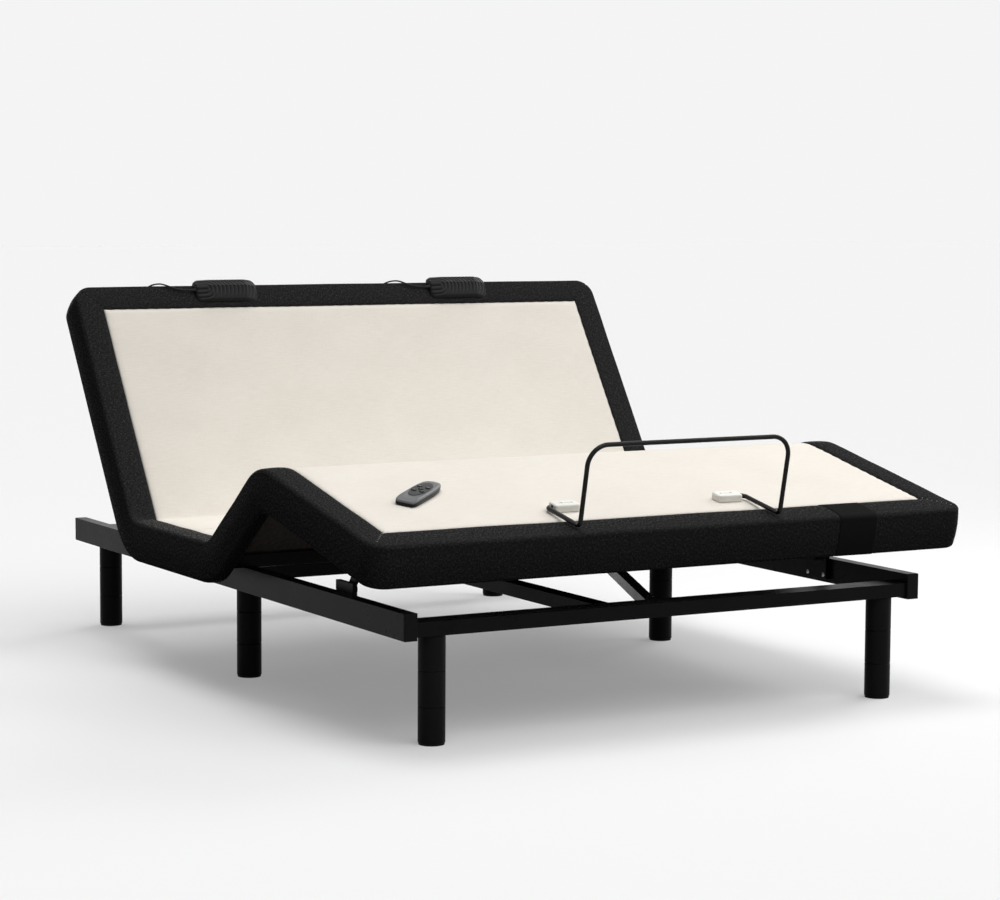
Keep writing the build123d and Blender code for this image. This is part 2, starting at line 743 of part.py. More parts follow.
deck_half = (-deck_width / 2, deck_width / 2)
seat_outline = [
    (-seam_gap, skirt_bottom),
    (-seam_gap, 0),
    (-head_cut, pad_thickness),
    (-seat_length + thigh_cut, pad_thickness),
    (-seat_length + seam_gap, 0),
    (-seat_length + seam_gap, skirt_bottom),
]
with BuildPart() as seat_border:
    straight_borders(seat_frame, (-seat_length, 0), pad_thickness)
    side_prism(seat_frame, seat_outline, deck_half, Mode.INTERSECT)
seat_border.part.label = "seat_border"
export_step(seat_border.part, "parts/seat_border.step")

leaf_z = (-leaf_thickness, 0)
with BuildPart() as seat_hinge_leaves:
    hinge(seat_frame, -1, leaf_z, True)
    hinge(seat_front, 1, leaf_z, True)
seat_hinge_leaves.part.label = "seat_hinge_leaves"
export_step(seat_hinge_leaves.part, "parts/seat_hinge_leaves.step")

# Head section
moving_tube_z = (-board_thickness - moving_tube, -board_thickness)
with BuildPart() as head_board:
    head_board_end = head_length - skirt_thickness - pad_gap
    slab(head_frame, (-board_half, board_half), (board_setback, head_board_end), board_z)
    hinge_rebates(head_frame, 1)
head_board.part.label = "head_board"
export_step(head_board.part, "parts/head_board.step")

head_pad_end = head_length - border_width - pad_gap
head_pad_outline = [
    (board_setback, 0),
    (head_pad_end, 0),
    (head_pad_end, pad_thickness),
    (head_pad_cut, pad_thickness),
]
with BuildPart() as head_pad:
    side_prism(head_frame, head_pad_outline, (-pad_half, pad_half))
head_pad.part.label = "head_pad"
export_step(head_pad.part, "parts/head_pad.step")

head_outline = [
    (seam_gap, skirt_bottom),
    (head_length, skirt_bottom),
    (head_length, pad_thickness),
    (head_cut, pad_thickness),
    (seam_gap, 0),
]
with BuildPart() as head_border:
    closed_border(head_frame, 0, head_length, pad_thickness, border_width)
    side_prism(head_frame, head_outline, deck_half, Mode.INTERSECT)
head_border.part.label = "head_border"
export_step(head_border.part, "parts/head_border.step")

with BuildPart() as head_subframe:
    tube_inner = side_tube_x - tube_width / 2
    near_y = (first_tube_setback, first_tube_setback + cross_tube_width)
    far_end = head_length - skirt_thickness - last_tube_setback
    far_y = (far_end - tube_width, far_end)
    for span in both_sides(tube_inner, tube_inner + tube_width):
        long_tube(head_frame, span, (first_tube_setback, far_end), moving_tube_z)
    for tube_y in (near_y, far_y):
        cross_span = (-tube_inner + weld_gap, tube_inner - weld_gap)
        cross_tube(head_frame, cross_span, tube_y, moving_tube_z)
head_subframe.part.label = "head_subframe"
export_step(head_subframe.part, "parts/head_subframe.step")

nut_wing = channel_width / 2 + channel_clearance + cheek_thickness
lever_near = nut_wing + lever_side_gap
with BuildPart() as head_lever:
    for span in both_sides(lever_near, lever_near + lever_thickness):
        lever_plate(head_frame, 1, head_limit / 2, (drive_x + span[0], drive_x + span[1]))
head_lever.part.label = "head_lever"
export_step(head_lever.part, "parts/head_lever.step")

with BuildPart() as head_hinge_leaves:
    hinge(head_frame, 1, leaf_z, False)
head_hinge_leaves.part.label = "head_hinge_leaves"
export_step(head_hinge_leaves.part, "parts/head_hinge_leaves.step")

# Sensor pads on the head border, with a short lead each over the edge into a grommet
sensor_y = head_length - sensor_setback - sensor_width / 2
sensor_places = (sensor_shift - sensor_x, sensor_shift + sensor_x)
with BuildPart() as sensor_pads:
    for x in sensor_places:
        with BuildSketch(head_frame.offset(pad_thickness)):
            with Locations((x, sensor_y)):
                RectangleRounded(sensor_length, sensor_width, sensor_rounding)
        extrude(amount=sensor_height)
sensor_pads.part.label = "sensor_pads"
export_step(sensor_pads.part, "parts/sensor_pads.step")

lead_start = sensor_length / 2
lead_height = pad_thickness + sensor_height / 3
lead_end = head_length + grommet_height
lead_route = [
    (-lead_start, sensor_y, lead_height),
    (-lead_start - 20, sensor_y, lead_height),
    (-lead_start - 45, sensor_y + 4, lead_height - 2),
    (-lead_start - 67, sensor_y + 14, lead_height - 2),
    (-lead_start - 82, lead_end - 4.5, pad_thickness + 4),
    (-lead_start - 91, lead_end + 1.5, pad_thickness - 5.5),
    (-lead_start - 96, lead_end + 9.5, pad_thickness - 23),
    (-lead_start - 100, lead_end + 16, pad_thickness - 45),
    (-lead_start - 100, lead_end + 9, pad_thickness - 54),
    (-lead_start - 100, lead_end, pad_thickness - 54),
]
lead_radii = bend_radii(lead_route)
grommet_place = (lead_route[-1][0], lead_route[-1][2])
with BuildPart() as sensor_cords:
    for x in sensor_places:
        with BuildLine(head_frame) as lead_path:
            FilletPolyline(*[(x + across, y, z) for across, y, z in lead_route], radius=lead_radii)
        with BuildSketch(Plane(origin=lead_path.wires()[0] @ 0, z_dir=lead_path.wires()[0] % 0)):
            Circle(cord_radius)
        sweep(path=lead_path.wires()[0])
sensor_cords.part.label = "sensor_cords"
export_step(sensor_cords.part, "parts/sensor_cords.step")
lead_length = sum((Vector(*b) - Vector(*a)).length for a, b in zip(lead_route, lead_route[1:]))
print("lead radii", [round(radius, 1) for radius in lead_radii], "run length", round(lead_length))

with BuildPart() as cord_grommets:
    for x in sensor_places:
        centre = (x + grommet_place[0], grommet_place[1])
        with BuildSketch(end_of(head_frame, head_length)):
            with Locations(centre):
                Circle(grommet_radius)
        extrude(amount=-grommet_height)
cord_grommets.part.label = "cord_grommets"
export_step(cord_grommets.part, "parts/cord_grommets.step")

# Thigh section
thigh_board_end = -thigh_length + seam_gap
with BuildPart() as thigh_board:
    slab(thigh_frame, (-board_half, board_half), (thigh_board_end, -board_setback), board_z)
    hinge_rebates(thigh_frame, -1)
thigh_board.part.label = "thigh_board"
export_step(thigh_board.part, "parts/thigh_board.step")

thigh_pad_outline = [
    (-board_setback, 0),
    (-thigh_pad_cut, pad_thickness),
    (thigh_board_end, pad_thickness),
    (thigh_board_end, 0),
]
with BuildPart() as thigh_pad:
    side_prism(thigh_frame, thigh_pad_outline, (-pad_half, pad_half))
thigh_pad.part.label = "thigh_pad"
export_step(thigh_pad.part, "parts/thigh_pad.step")

thigh_outline = [
    (-seam_gap, skirt_bottom),
    (-seam_gap, 0),
    (-thigh_cut, pad_thickness),
    (thigh_board_end, pad_thickness),
    (thigh_board_end, -knee_drop),
    (-thigh_length + knee_cut, skirt_bottom),
]
with BuildPart() as thigh_border:
    straight_borders(thigh_frame, (-thigh_length, 0), pad_thickness)
    side_prism(thigh_frame, thigh_outline, deck_half, Mode.INTERSECT)
thigh_border.part.label = "thigh_border"
export_step(thigh_border.part, "parts/thigh_border.step")

with BuildPart() as thigh_subframe:
    tube_inner = side_tube_x - tube_width / 2
    knee_end = -thigh_length + last_tube_setback
    near_y = (-first_tube_setback - cross_tube_width, -first_tube_setback)
    for span in both_sides(tube_inner, tube_inner + tube_width):
        long_tube(thigh_frame, span, (knee_end, -first_tube_setback), moving_tube_z)
    for tube_y in (near_y, (knee_end, knee_end + tube_width)):
        cross_span = (-tube_inner + weld_gap, tube_inner - weld_gap)
        cross_tube(thigh_frame, cross_span, tube_y, moving_tube_z)
thigh_subframe.part.label = "thigh_subframe"
export_step(thigh_subframe.part, "parts/thigh_subframe.step")

with BuildPart() as thigh_lever:
    for span in both_sides(lever_near, lever_near + lever_thickness):
        lever_plate(thigh_frame, -1, thigh_limit / 2, (span[0] - drive_x, span[1] - drive_x))
thigh_lever.part.label = "thigh_lever"
export_step(thigh_lever.part, "parts/thigh_lever.step")

knee_leaf_z = (knee_drop - board_thickness - leaf_thickness, knee_drop - board_thickness)
with BuildPart() as thigh_hinge_leaves:
    hinge(thigh_frame, -1, leaf_z, False)
    hinge(knee_frame, 1, knee_leaf_z, True)
thigh_hinge_leaves.part.label = "thigh_hinge_leaves"
export_step(thigh_hinge_leaves.part, "parts/thigh_hinge_leaves.step")

# Calf section, drawn from the knee hinge, which lies under the boards
calf_board_top = calf_top - pad_thickness
calf_board_z = (calf_board_top - board_thickness, calf_board_top)
calf_tube_z = (calf_board_z[0] - moving_tube, calf_board_z[0])
calf_board_y = (-calf_length + skirt_thickness + pad_gap, -seam_gap)
with BuildPart() as calf_board:
    slab(calf_frame, (-board_half, board_half), calf_board_y, calf_board_z)
calf_board.part.label = "calf_board"
export_step(calf_board.part, "parts/calf_board.step")

with BuildPart() as calf_pad:
    calf_pad_y = (-calf_length + foot_border + pad_gap, -seam_gap)
    slab(calf_frame, (-pad_half, pad_half), calf_pad_y, (calf_board_top, calf_top))
calf_pad.part.label = "calf_pad"
export_step(calf_pad.part, "parts/calf_pad.step")

calf_outline = [
    (-seam_gap, calf_top),
    (-seam_gap, 0),
    (-knee_cut, calf_bottom),
    (-calf_length, calf_bottom),
    (-calf_length, calf_top),
]
with BuildPart() as calf_border:
    closed_border(calf_frame, 0, -calf_length, calf_top, foot_border)
    side_prism(calf_frame, calf_outline, deck_half, Mode.INTERSECT)
calf_border.part.label = "calf_border"
export_step(calf_border.part, "parts/calf_border.step")

with BuildPart() as calf_subframe:
    tube_inner = calf_tube_x - tube_width / 2
    foot_end = -calf_length + skirt_thickness + last_tube_setback
    for span in both_sides(tube_inner, tube_inner + tube_width):
        long_tube(calf_frame, span, (foot_end, -last_tube_setback), calf_tube_z)
    near_y = (-last_tube_setback - tube_width, -last_tube_setback)
    for tube_y in (near_y, (foot_end, foot_end + tube_width)):
        cross_span = (-tube_inner + weld_gap, tube_inner - weld_gap)
        cross_tube(calf_frame, cross_span, tube_y, calf_tube_z)
calf_subframe.part.label = "calf_subframe"
export_step(calf_subframe.part, "parts/calf_subframe.step")

with BuildPart() as calf_link_ears:
    ear_inner = calf_tube_x + tube_width / 2
    ear_outer = ear_inner + link_ear_thickness
    ear_y = (-link_ear_reach - link_half_width * 2, -link_ear_reach + link_half_width * 2)
    ear_z = (-link_ear_drop - link_half_width, calf_tube_z[1])
    for side in (1, -1):
        slab(calf_frame, sorted((side * ear_inner, side * ear_outer)), ear_y, ear_z)
        pin_stop = link_outer + link_side_gap / 2
        pin_span = sorted((side * ear_outer, side * pin_stop))
        cross_rod(calf_frame, -link_ear_reach, -link_ear_drop, link_pin_radius, pin_span)
        head_span = sorted((side * pin_stop, side * (pin_stop + link_head_thickness)))
        cross_rod(calf_frame, -link_ear_reach, -link_ear_drop, link_pin_head, head_span)
calf_link_ears.part.label = "calf_link_ears"
export_step(calf_link_ears.part, "parts/calf_link_ears.step")

with BuildPart() as calf_hinge_leaves:
    hinge(calf_frame, -1, knee_leaf_z, False)
calf_hinge_leaves.part.label = "calf_hinge_leaves"
export_step(calf_hinge_leaves.part, "parts/calf_hinge_leaves.step")

# Mattress retainer: a bail whose ends turn inward into two clips
half_span = retainer_span / 2
seat_level = calf_top + retainer_seat
low_level = calf_top + retainer_lift
right_half = [
    (half_span - retainer_stub, -retainer_anchor, seat_level),
    (half_span, -retainer_anchor, seat_level),
    (half_span, -retainer_reach, low_level),
    (half_span, -retainer_reach, retainer_top),
]
whole_bail = right_half + [(-x, y, z) for x, y, z in reversed(right_half)]
retainer_route = [(x + retainer_shift, y, z) for x, y, z in whole_bail]
retainer_bends = [retainer_low_bend, retainer_low_bend, retainer_top_bend]
with BuildPart() as retainer_bar:
    with BuildLine(calf_frame) as retainer_path:
        FilletPolyline(*retainer_route, radius=retainer_bends + retainer_bends[::-1])
    with BuildSketch(side_of(calf_frame, half_span - retainer_stub + retainer_shift)):
        with Locations((-retainer_anchor, seat_level)):
            Circle(retainer_radius)
    sweep(path=retainer_path.wires()[0])
retainer_bar.part.label = "retainer_bar"
export_step(retainer_bar.part, "parts/retainer_bar.step")

with BuildPart() as retainer_clips:
    clip_y = (-retainer_anchor - clip_width / 2, -retainer_anchor + clip_width / 2)
    clip_start = half_span - retainer_low_bend - clip_length
    for low, high in both_sides(clip_start, clip_start + clip_length):
        span = (low + retainer_shift, high + retainer_shift)
        slab(calf_frame, span, clip_y, (calf_top, calf_top + clip_height))
        bore = retainer_radius + clip_clearance
        cross_rod(calf_frame, -retainer_anchor, seat_level, bore, span, Mode.SUBTRACT)
retainer_clips.part.label = "retainer_clips"
export_step(retainer_clips.part, "parts/retainer_clips.step")

# Soft gussets that close the folds at the sides, and the padded bridge over the knee
gusset_x = (deck_width / 2 - skirt_thickness + pad_gap, deck_width / 2 - pad_gap)
gusset_radius = -skirt_bottom - pad_gap
gusset_tip = 2 * seam_gap
with BuildPart() as head_gusset:
    for span in both_sides(*gusset_x):
        fan((head_hinge_y, axis_height), -90, head_angle, gusset_tip, gusset_radius, span)
head_gusset.part.label = "head_gusset"
export_step(head_gusset.part, "parts/head_gusset.step")

with BuildPart() as thigh_gusset:
    for span in both_sides(*gusset_x):
        fan((thigh_hinge_y, axis_height), -90 - thigh_angle, thigh_angle, gusset_tip, gusset_radius, span)
thigh_gusset.part.label = "thigh_gusset"
export_step(thigh_gusset.part, "parts/thigh_gusset.step")

with BuildPart() as knee_gusset:
    knee_inner = barrel_radius + 3 * pad_gap
    knee_span = (pad_gap - deck_width / 2, deck_width / 2 - pad_gap)
    fan((knee_y, knee_z), 90 - thigh_angle, thigh_angle + calf_slope, knee_inner, calf_top, knee_span)
knee_gusset.part.label = "knee_gusset"
export_step(knee_gusset.part, "parts/knee_gusset.step")

# Remote control
turn = radians(remote_turn)
remote_origin = calf_frame.from_local_coords((remote_x, -remote_reach, calf_top))
remote_across = calf_frame.x_dir * cos(turn) + calf_frame.y_dir * sin(turn)
remote_frame = Plane(origin=remote_origin, x_dir=remote_across, z_dir=calf_frame.z_dir)
key_places = [(step * key_pitch, side * key_offset) for step in (-1, 1) for side in (-1, 1)] + [(0, 0)]
pocket_depth = key_depth + key_travel + key_clearance
with BuildPart() as remote_case:
    with BuildSketch(remote_frame):
        RectangleRounded(remote_length, remote_width, remote_rounding)
    extrude(amount=remote_depth)
    with BuildSketch(remote_frame.offset(remote_depth)):
        with Locations(*key_places):
            Circle(key_radius + key_clearance)
    extrude(amount=-pocket_depth, mode=Mode.SUBTRACT)
remote_case.part.label = "remote_case"
export_step(remote_case.part, "parts/remote_case.step")

with BuildPart() as remote_face:
    with BuildSketch(remote_frame.offset(remote_depth)):
        Ellipse(face_length / 2, face_width / 2)
        with Locations(*key_places):
            Circle(key_radius + key_clearance, mode=Mode.SUBTRACT)
    extrude(amount=face_thickness)
remote_face.part.label = "remote_face"
export_step(remote_face.part, "parts/remote_face.step")

for number, place in enumerate(key_places, start=1):
    key_name = f"remote_key_{number}"
    with BuildPart() as remote_key:
        with BuildSketch(remote_frame.offset(remote_depth - key_depth)):
            with Locations(place):
                Circle(key_radius)
        extrude(amount=key_depth + face_thickness + key_proud)
    remote_key.part.label = key_name
    export_step(remote_key.part, f"parts/{key_name}.step")

print("head hinge", round(head_hinge_y, 2), round(axis_height, 2), "thigh hinge", round(thigh_hinge_y, 2))
print("knee", round(knee_y, 2), round(knee_z, 2))
print("link pivot", round(link_pivot_y, 2), round(link_pivot_z, 2))
print("crossbars", [round(row, 2) for row in crossbar_rows])
print("rail ends", round(rail_foot_end, 2), round(rail_head_end, 2))
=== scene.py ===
import bmesh
import bpy
import numpy as np
from math import copysign, cos, pi, radians, sin, tan
from mathutils import Matrix, Vector


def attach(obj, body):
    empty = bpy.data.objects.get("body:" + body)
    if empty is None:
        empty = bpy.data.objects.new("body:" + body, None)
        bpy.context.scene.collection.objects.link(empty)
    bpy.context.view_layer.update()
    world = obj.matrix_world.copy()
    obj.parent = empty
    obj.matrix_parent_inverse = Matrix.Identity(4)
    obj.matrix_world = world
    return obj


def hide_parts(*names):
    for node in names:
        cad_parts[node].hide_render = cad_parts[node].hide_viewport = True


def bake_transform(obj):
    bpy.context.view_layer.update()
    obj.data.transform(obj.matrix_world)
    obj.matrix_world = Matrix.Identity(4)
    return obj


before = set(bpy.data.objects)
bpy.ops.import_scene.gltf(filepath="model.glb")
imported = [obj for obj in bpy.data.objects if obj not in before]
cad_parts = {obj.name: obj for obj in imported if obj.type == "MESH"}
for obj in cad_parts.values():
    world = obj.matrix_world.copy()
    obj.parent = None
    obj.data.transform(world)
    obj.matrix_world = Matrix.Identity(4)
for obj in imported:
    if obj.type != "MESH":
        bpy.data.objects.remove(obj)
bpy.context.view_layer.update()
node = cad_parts
print("frame in place:", len(node), "nodes")

# sizes of the padded deck, in metres, as the solids have them
deck = {
    "half": 0.742, "border": 0.067, "footBorder": 0.088, "top": 0.018, "bottom": -0.076, "skirt": 0.030,
    "edge": 0.010, "hem": 0.009, "corner": 0.045, "bulge": 0.003, "kneeDrop": 0.021,
    "headLength": 0.662, "seatLength": 0.455, "thighLength": 0.322, "calfLength": 0.546,
    "headAngle": radians(56), "thighAngle": radians(37), "calfSlope": radians(12),
    "headHinge": (0.3481, 0.3230), "thighHinge": (-0.1069, 0.3230), "knee": (-0.37669, 0.50001),
}
# where each section's own y and z point: the hinge it starts at, and its turn about the bed's x
sectionPlace = {
    "head": (deck["headHinge"], deck["headAngle"]),
    "calf": (deck["knee"], deck["calfSlope"]),
}


# a point of a section put into the bed: hinge + y along the section + z out of its board
def onSection(section, points):
    (startY, startZ), turn = sectionPlace[section]
    points = np.asarray(points, float)
    y = startY + points[..., 1] * cos(turn) - points[..., 2] * sin(turn)
    z = startZ + points[..., 1] * sin(turn) + points[..., 2] * cos(turn)
    return np.stack([points[..., 0], y, z], axis=-1)


# points of a local frame put into the bed: origin + x, y and z times the frame's own axes
def placed(points, origin, axes):
    return np.array(origin) + points @ np.array(axes)


# the three axes of a section, as rows: across the bed, along the section and out of its board
def sectionAxes(section):
    turn = sectionPlace[section][1]
    return np.array([(1, 0, 0), (0, cos(turn), sin(turn)), (0, -sin(turn), cos(turn))])


# corners of each cell of four neighbouring points, as rows of indices; columns may close on themselves
def gridCells(rows, cols, loopCols):
    index = np.arange(rows * cols).reshape(rows, cols)
    upper, below = index[:-1], index[1:]
    if loopCols:
        corners = [upper, np.roll(upper, -1, axis=1), np.roll(below, -1, axis=1), below]
    else:
        corners = [upper[:, :-1], upper[:, 1:], below[:, 1:], below[:, :-1]]
    return np.stack([c.ravel() for c in corners], axis=1)


# 1 where faces look out and -1 where they look in: the sign of the sum of each triangle's box product
def facing(points, cells):
    a, b, c, d = np.moveaxis(points[cells] - points.mean(axis=0), 1, 0)
    return 1 if np.einsum("ij,ij->", a, np.cross(b, c) + np.cross(c, d)) >= 0 else -1


def linked(name, data):
    made = bpy.data.objects.new(name, data)
    bpy.context.scene.collection.objects.link(made)
    return made


def madeMesh(name, points, faces, sharp, uv=None, merge=None):
    mesh = bpy.data.meshes.new(name)
    mesh.from_pydata(points.tolist(), [], faces)
    if uv is not None:
        layer = mesh.uv_layers.new(name="weave")
        corner = np.empty(len(mesh.loops), np.int32)
        mesh.loops.foreach_get("vertex_index", corner)
        layer.data.foreach_set("uv", uv.reshape(-1, 2)[corner].astype(np.float32).ravel())
    if merge is not None:
        work = bmesh.new()
        work.from_mesh(mesh)
        bmesh.ops.remove_doubles(work, verts=work.verts, dist=merge)
        work.to_mesh(mesh)
        work.free()
    mesh.polygons.foreach_set("use_smooth", np.ones(len(mesh.polygons), bool))
    mesh.set_sharp_from_angle(angle=radians(sharp))
    mesh.update()
    return linked(name, mesh)


# a sheet is turned over where its faces mostly look against the given way
def facedTo(piece, way):
    normals = np.empty(3 * len(piece.data.polygons), np.float32)
    piece.data.polygons.foreach_get("normal", normals)
    if normals.reshape(-1, 3).mean(axis=0) @ way < 0:
        piece.data.flip_normals()
    return piece


# mesh from one grid of points; the first and last rows of a tube may get one face each
def gridMesh(name, grid, loopCols=False, caps=False, uv=None, sharp=50):
    rows, cols = grid.shape[:2]
    points, cells = grid.reshape(-1, 3), gridCells(rows, cols, loopCols)
    ends = [np.arange(cols)[::-1], np.arange(cols) + (rows - 1) * cols] if caps else []
    way = facing(points, cells)
    faces = cells[:, ::way].tolist() + [end[::way].tolist() for end in ends]
    return madeMesh(name, points, faces, sharp, uv)


# several grids of one kind in one mesh, with doubled points merged
def gridsMesh(name, grids, loopCols=True, sharp=40):
    points, faces, start = [], [], 0
    for grid in grids:
        own = grid.reshape(-1, 3)
        cells = gridCells(*grid.shape[:2], loopCols)
        faces += (cells[:, ::facing(own, cells)] + start).tolist()
        points.append(own)
        start += len(own)
    return madeMesh(name, np.concatenate(points), faces, sharp, merge=1e-6)


def fullTurn(count):
    return np.linspace(0, 2 * pi, count, endpoint=False)


# rings of a turned shape: each (radius, height) of the profile swept round the local z
def turned(profile, around=28):
    angle = fullTurn(around)
    radius, height = np.array(profile).T[:, :, None]
    return np.stack([radius * np.cos(angle), radius * np.sin(angle), height + 0 * angle], axis=-1)


# outline of a rectangle with round corners: quarter circles about four corner centres
def roundedOutline(halfX, halfY, corner):
    angle = np.linspace(0, pi / 2, 7) + np.arange(4)[:, None] * pi / 2
    signX, signY = np.array(((1, -1, -1, 1), (1, 1, -1, -1)))[:, :, None]
    x = signX * (halfX - corner) + corner * np.cos(angle)
    y = signY * (halfY - corner) + corner * np.sin(angle)
    return x.ravel(), y.ravel()


# (inset, height) up a side with quarter rounds: those of the base, then those of the top
def quarterRounds(depth, topRound, baseRound, count):
    turn = np.linspace(0, pi / 2, count)
    base = [(baseRound * (1 - sin(t)), baseRound * (1 - cos(t))) for t in turn]
    top = [(topRound * (1 - cos(t)), depth - topRound * (1 - sin(t))) for t in turn]
    return base, top


# rings of a moulded block: the outline shrunk by an inset at each height, with quarter rounds
def moulded(halfX, halfY, corner, depth, topRound, baseRound, least=0.0006, sharpest=0.0004):
    base, top = quarterRounds(depth, topRound, baseRound, 6)
    flat = min(halfX, halfY) - least
    rings = []
    for inset, height in [(flat, 0.0)] + base + top + [(flat * 0.6 + topRound * 0.4, depth), (flat, depth)]:
        x, y = roundedOutline(halfX - inset, halfY - inset, max(corner - inset, sharpest))
        rings.append(np.stack([x, y, np.full_like(x, height)], axis=-1))
    return np.array(rings)


def surface(name, color, roughness, **sockets):
    made = bpy.data.materials.new(name)
    made.use_nodes = True
    shader = made.node_tree.nodes["Principled BSDF"]
    shader.inputs["Base Color"].default_value = (*color, 1)
    shader.inputs["Roughness"].default_value = roughness
    for socket, value in sockets.items():
        shader.inputs[socket.replace("_", " ")].default_value = value
    return made, made.node_tree, shader


def step(tree, kind, inputs=(), **settings):
    made = tree.nodes.new(kind)
    for key, value in settings.items():
        setattr(made, key, value)
    for key, value in dict(inputs).items():
        if isinstance(value, bpy.types.NodeSocket):
            tree.links.new(value, made.inputs[key])
        else:
            made.inputs[key].default_value = value
    return made


def ramp(tree, factor, stops):
    made = step(tree, "ShaderNodeValToRGB", {"Fac": factor})
    while len(made.color_ramp.elements) < len(stops):
        made.color_ramp.elements.new(0.5)
    for element, (place, color) in zip(made.color_ramp.elements, stops):
        element.position = place
        element.color = (*color, 1)
    return made.outputs["Color"]


def coords(tree, kind, scale=(1, 1, 1)):
    base = step(tree, "ShaderNodeTexCoord").outputs[kind]
    return step(tree, "ShaderNodeMapping", {"Vector": base, "Scale": scale}).outputs["Vector"]


def noise(tree, vector, scale=1.0, detail=2.0, rough=0.5):
    inputs = {"Vector": vector, "Scale": scale, "Detail": detail, "Roughness": rough}
    return step(tree, "ShaderNodeTexNoise", inputs).outputs["Fac"]


def mathOf(tree, a, b, operation="ADD"):
    return step(tree, "ShaderNodeMath", {0: a, 1: b}, operation=operation).outputs["Value"]


def weighted(tree, a, shareA, b, shareB):
    return mathOf(tree, mathOf(tree, a, shareA, "MULTIPLY"), mathOf(tree, b, shareB, "MULTIPLY"))


def remapped(tree, value, low, high, newLow, newHigh):
    inputs = {"Value": value, "From Min": low, "From Max": high, "To Min": newLow, "To Max": newHigh}
    return step(tree, "ShaderNodeMapRange", inputs).outputs["Result"]


def bumpOn(tree, shader, height, strength, distance):
    made = step(tree, "ShaderNodeBump", {"Height": height, "Strength": strength, "Distance": distance})
    tree.links.new(made.outputs["Normal"], shader.inputs["Normal"])


# heathered cloth: long thin streaks along and across the weave, with paler fibres that catch low light
def heatherCloth(name, dark, middle, pale, along, across, sheen=0.50):
    made, tree, shader = surface(name, middle, 0.95, Sheen_Weight=sheen, Sheen_Roughness=0.23,
                                 Specular_IOR_Level=0.0)
    warp = noise(tree, coords(tree, "UV", (along, across, 1)), detail=3.0, rough=0.65)
    weft = noise(tree, coords(tree, "UV", (across, along, 1)), detail=3.0, rough=0.65)
    fleck = noise(tree, coords(tree, "UV", (along * 2.2, across * 0.45, 1)))
    mixed = weighted(tree, mathOf(tree, warp, weft, "MAXIMUM"), 0.62, fleck, 0.38)
    tone = ramp(tree, mixed, [(0.44, dark), (0.55, middle), (0.68, pale)])
    tree.links.new(tone, shader.inputs["Base Color"])
    fuzz = remapped(tree, mixed, 0.50, 0.64, sheen * 0.1, sheen * 2)
    tree.links.new(fuzz, shader.inputs["Sheen Weight"])
    bumpOn(tree, shader, mathOf(tree, warp, weft), 0.35, 0.0006)
    return made


# plain cream cloth: fine slubs across the bed, soft wide blotches, little shine
def creamCloth(name, color, shade):
    made, tree, shader = surface(name, color, 0.88, Sheen_Weight=0.12, Sheen_Roughness=0.5,
                                 Specular_IOR_Level=0.08)
    slub = noise(tree, coords(tree, "UV", (28, 620, 1)), detail=3.0, rough=0.6)
    cross = noise(tree, coords(tree, "UV", (620, 60, 1)))
    blotch = noise(tree, coords(tree, "Object"), scale=7.0, detail=4.0)
    fine = weighted(tree, slub, 0.5, cross, 0.25)
    mixed = mathOf(tree, fine, mathOf(tree, blotch, 0.25, "MULTIPLY"))
    tree.links.new(ramp(tree, mixed, [(0.36, shade), (0.60, color)]), shader.inputs["Base Color"])
    bumpOn(tree, shader, fine, 0.25, 0.0005)
    return made


# coated or moulded surface: fine orange-peel bump, with the shine and tone broken up by slow noise
def coated(name, color, roughness, peel=420.0, depth=0.00012, specular=0.5, metallic=0.0):
    made, tree, shader = surface(name, color, roughness, Specular_IOR_Level=specular, Metallic=metallic)
    place = coords(tree, "Object")
    slow = noise(tree, place, scale=9.0, detail=4.0, rough=0.6)
    shine = remapped(tree, slow, 0.3, 0.7, roughness - 0.06, roughness + 0.06)
    tree.links.new(shine, shader.inputs["Roughness"])
    dark, pale = (tuple(min(1, c * share) for c in color) for share in (0.82, 1.12))
    tree.links.new(ramp(tree, slow, [(0.3, dark), (0.7, pale)]), shader.inputs["Base Color"])
    bumpOn(tree, shader, noise(tree, place, scale=peel), 0.2, depth)
    return made


# grained board: long grain streaks along the bed with darker pores
def grainedBoard(name, dark, pale):
    made, tree, shader = surface(name, pale, 0.62, Specular_IOR_Level=0.08)
    grain = noise(tree, coords(tree, "Object", (90, 5, 90)), detail=5.0, rough=0.6)
    pore = noise(tree, coords(tree, "Object", (700, 18, 700)))
    mixed = weighted(tree, grain, 0.75, pore, 0.25)
    tree.links.new(ramp(tree, mixed, [(0.35, dark), (0.65, pale)]), shader.inputs["Base Color"])
    bumpOn(tree, shader, mixed, 0.3, 0.0004)
    return made


charcoalKnit = heatherCloth("charcoalKnit", (0.0130, 0.0128, 0.0131), (0.0235, 0.0230, 0.0235),
                            (0.064, 0.0627, 0.0620), 150, 430)
labelWeave = heatherCloth("labelWeave", (0.012,) * 3, (0.0155,) * 3, (0.024,) * 3, 700, 1400, 0.12)
creamTop = creamCloth("creamTop", (0.845, 0.800, 0.730), (0.765, 0.715, 0.640))
blackPaint = coated("blackPaint", (0.0100, 0.0098, 0.0100), 0.30, specular=0.04)
legBlack = coated("legBlack", (0.0100, 0.0097, 0.0100), 0.42, peel=650.0, specular=0.04)
capPlastic = coated("capPlastic", (0.009,) * 3, 0.45, peel=900.0, specular=0.05)
glideRubber = coated("glideRubber", (0.014,) * 3, 0.75, specular=0.10)
drivePlastic = coated("drivePlastic", (0.028, 0.028, 0.030), 0.55, peel=1100.0, specular=0.20)
motorSteel = coated("motorSteel", (0.32, 0.33, 0.34), 0.35, metallic=1.0)
zincSteel = coated("zincSteel", (0.52, 0.52, 0.50), 0.38, metallic=1.0)
nutPlastic = coated("nutPlastic", (0.62, 0.61, 0.57), 0.48, peel=800.0)
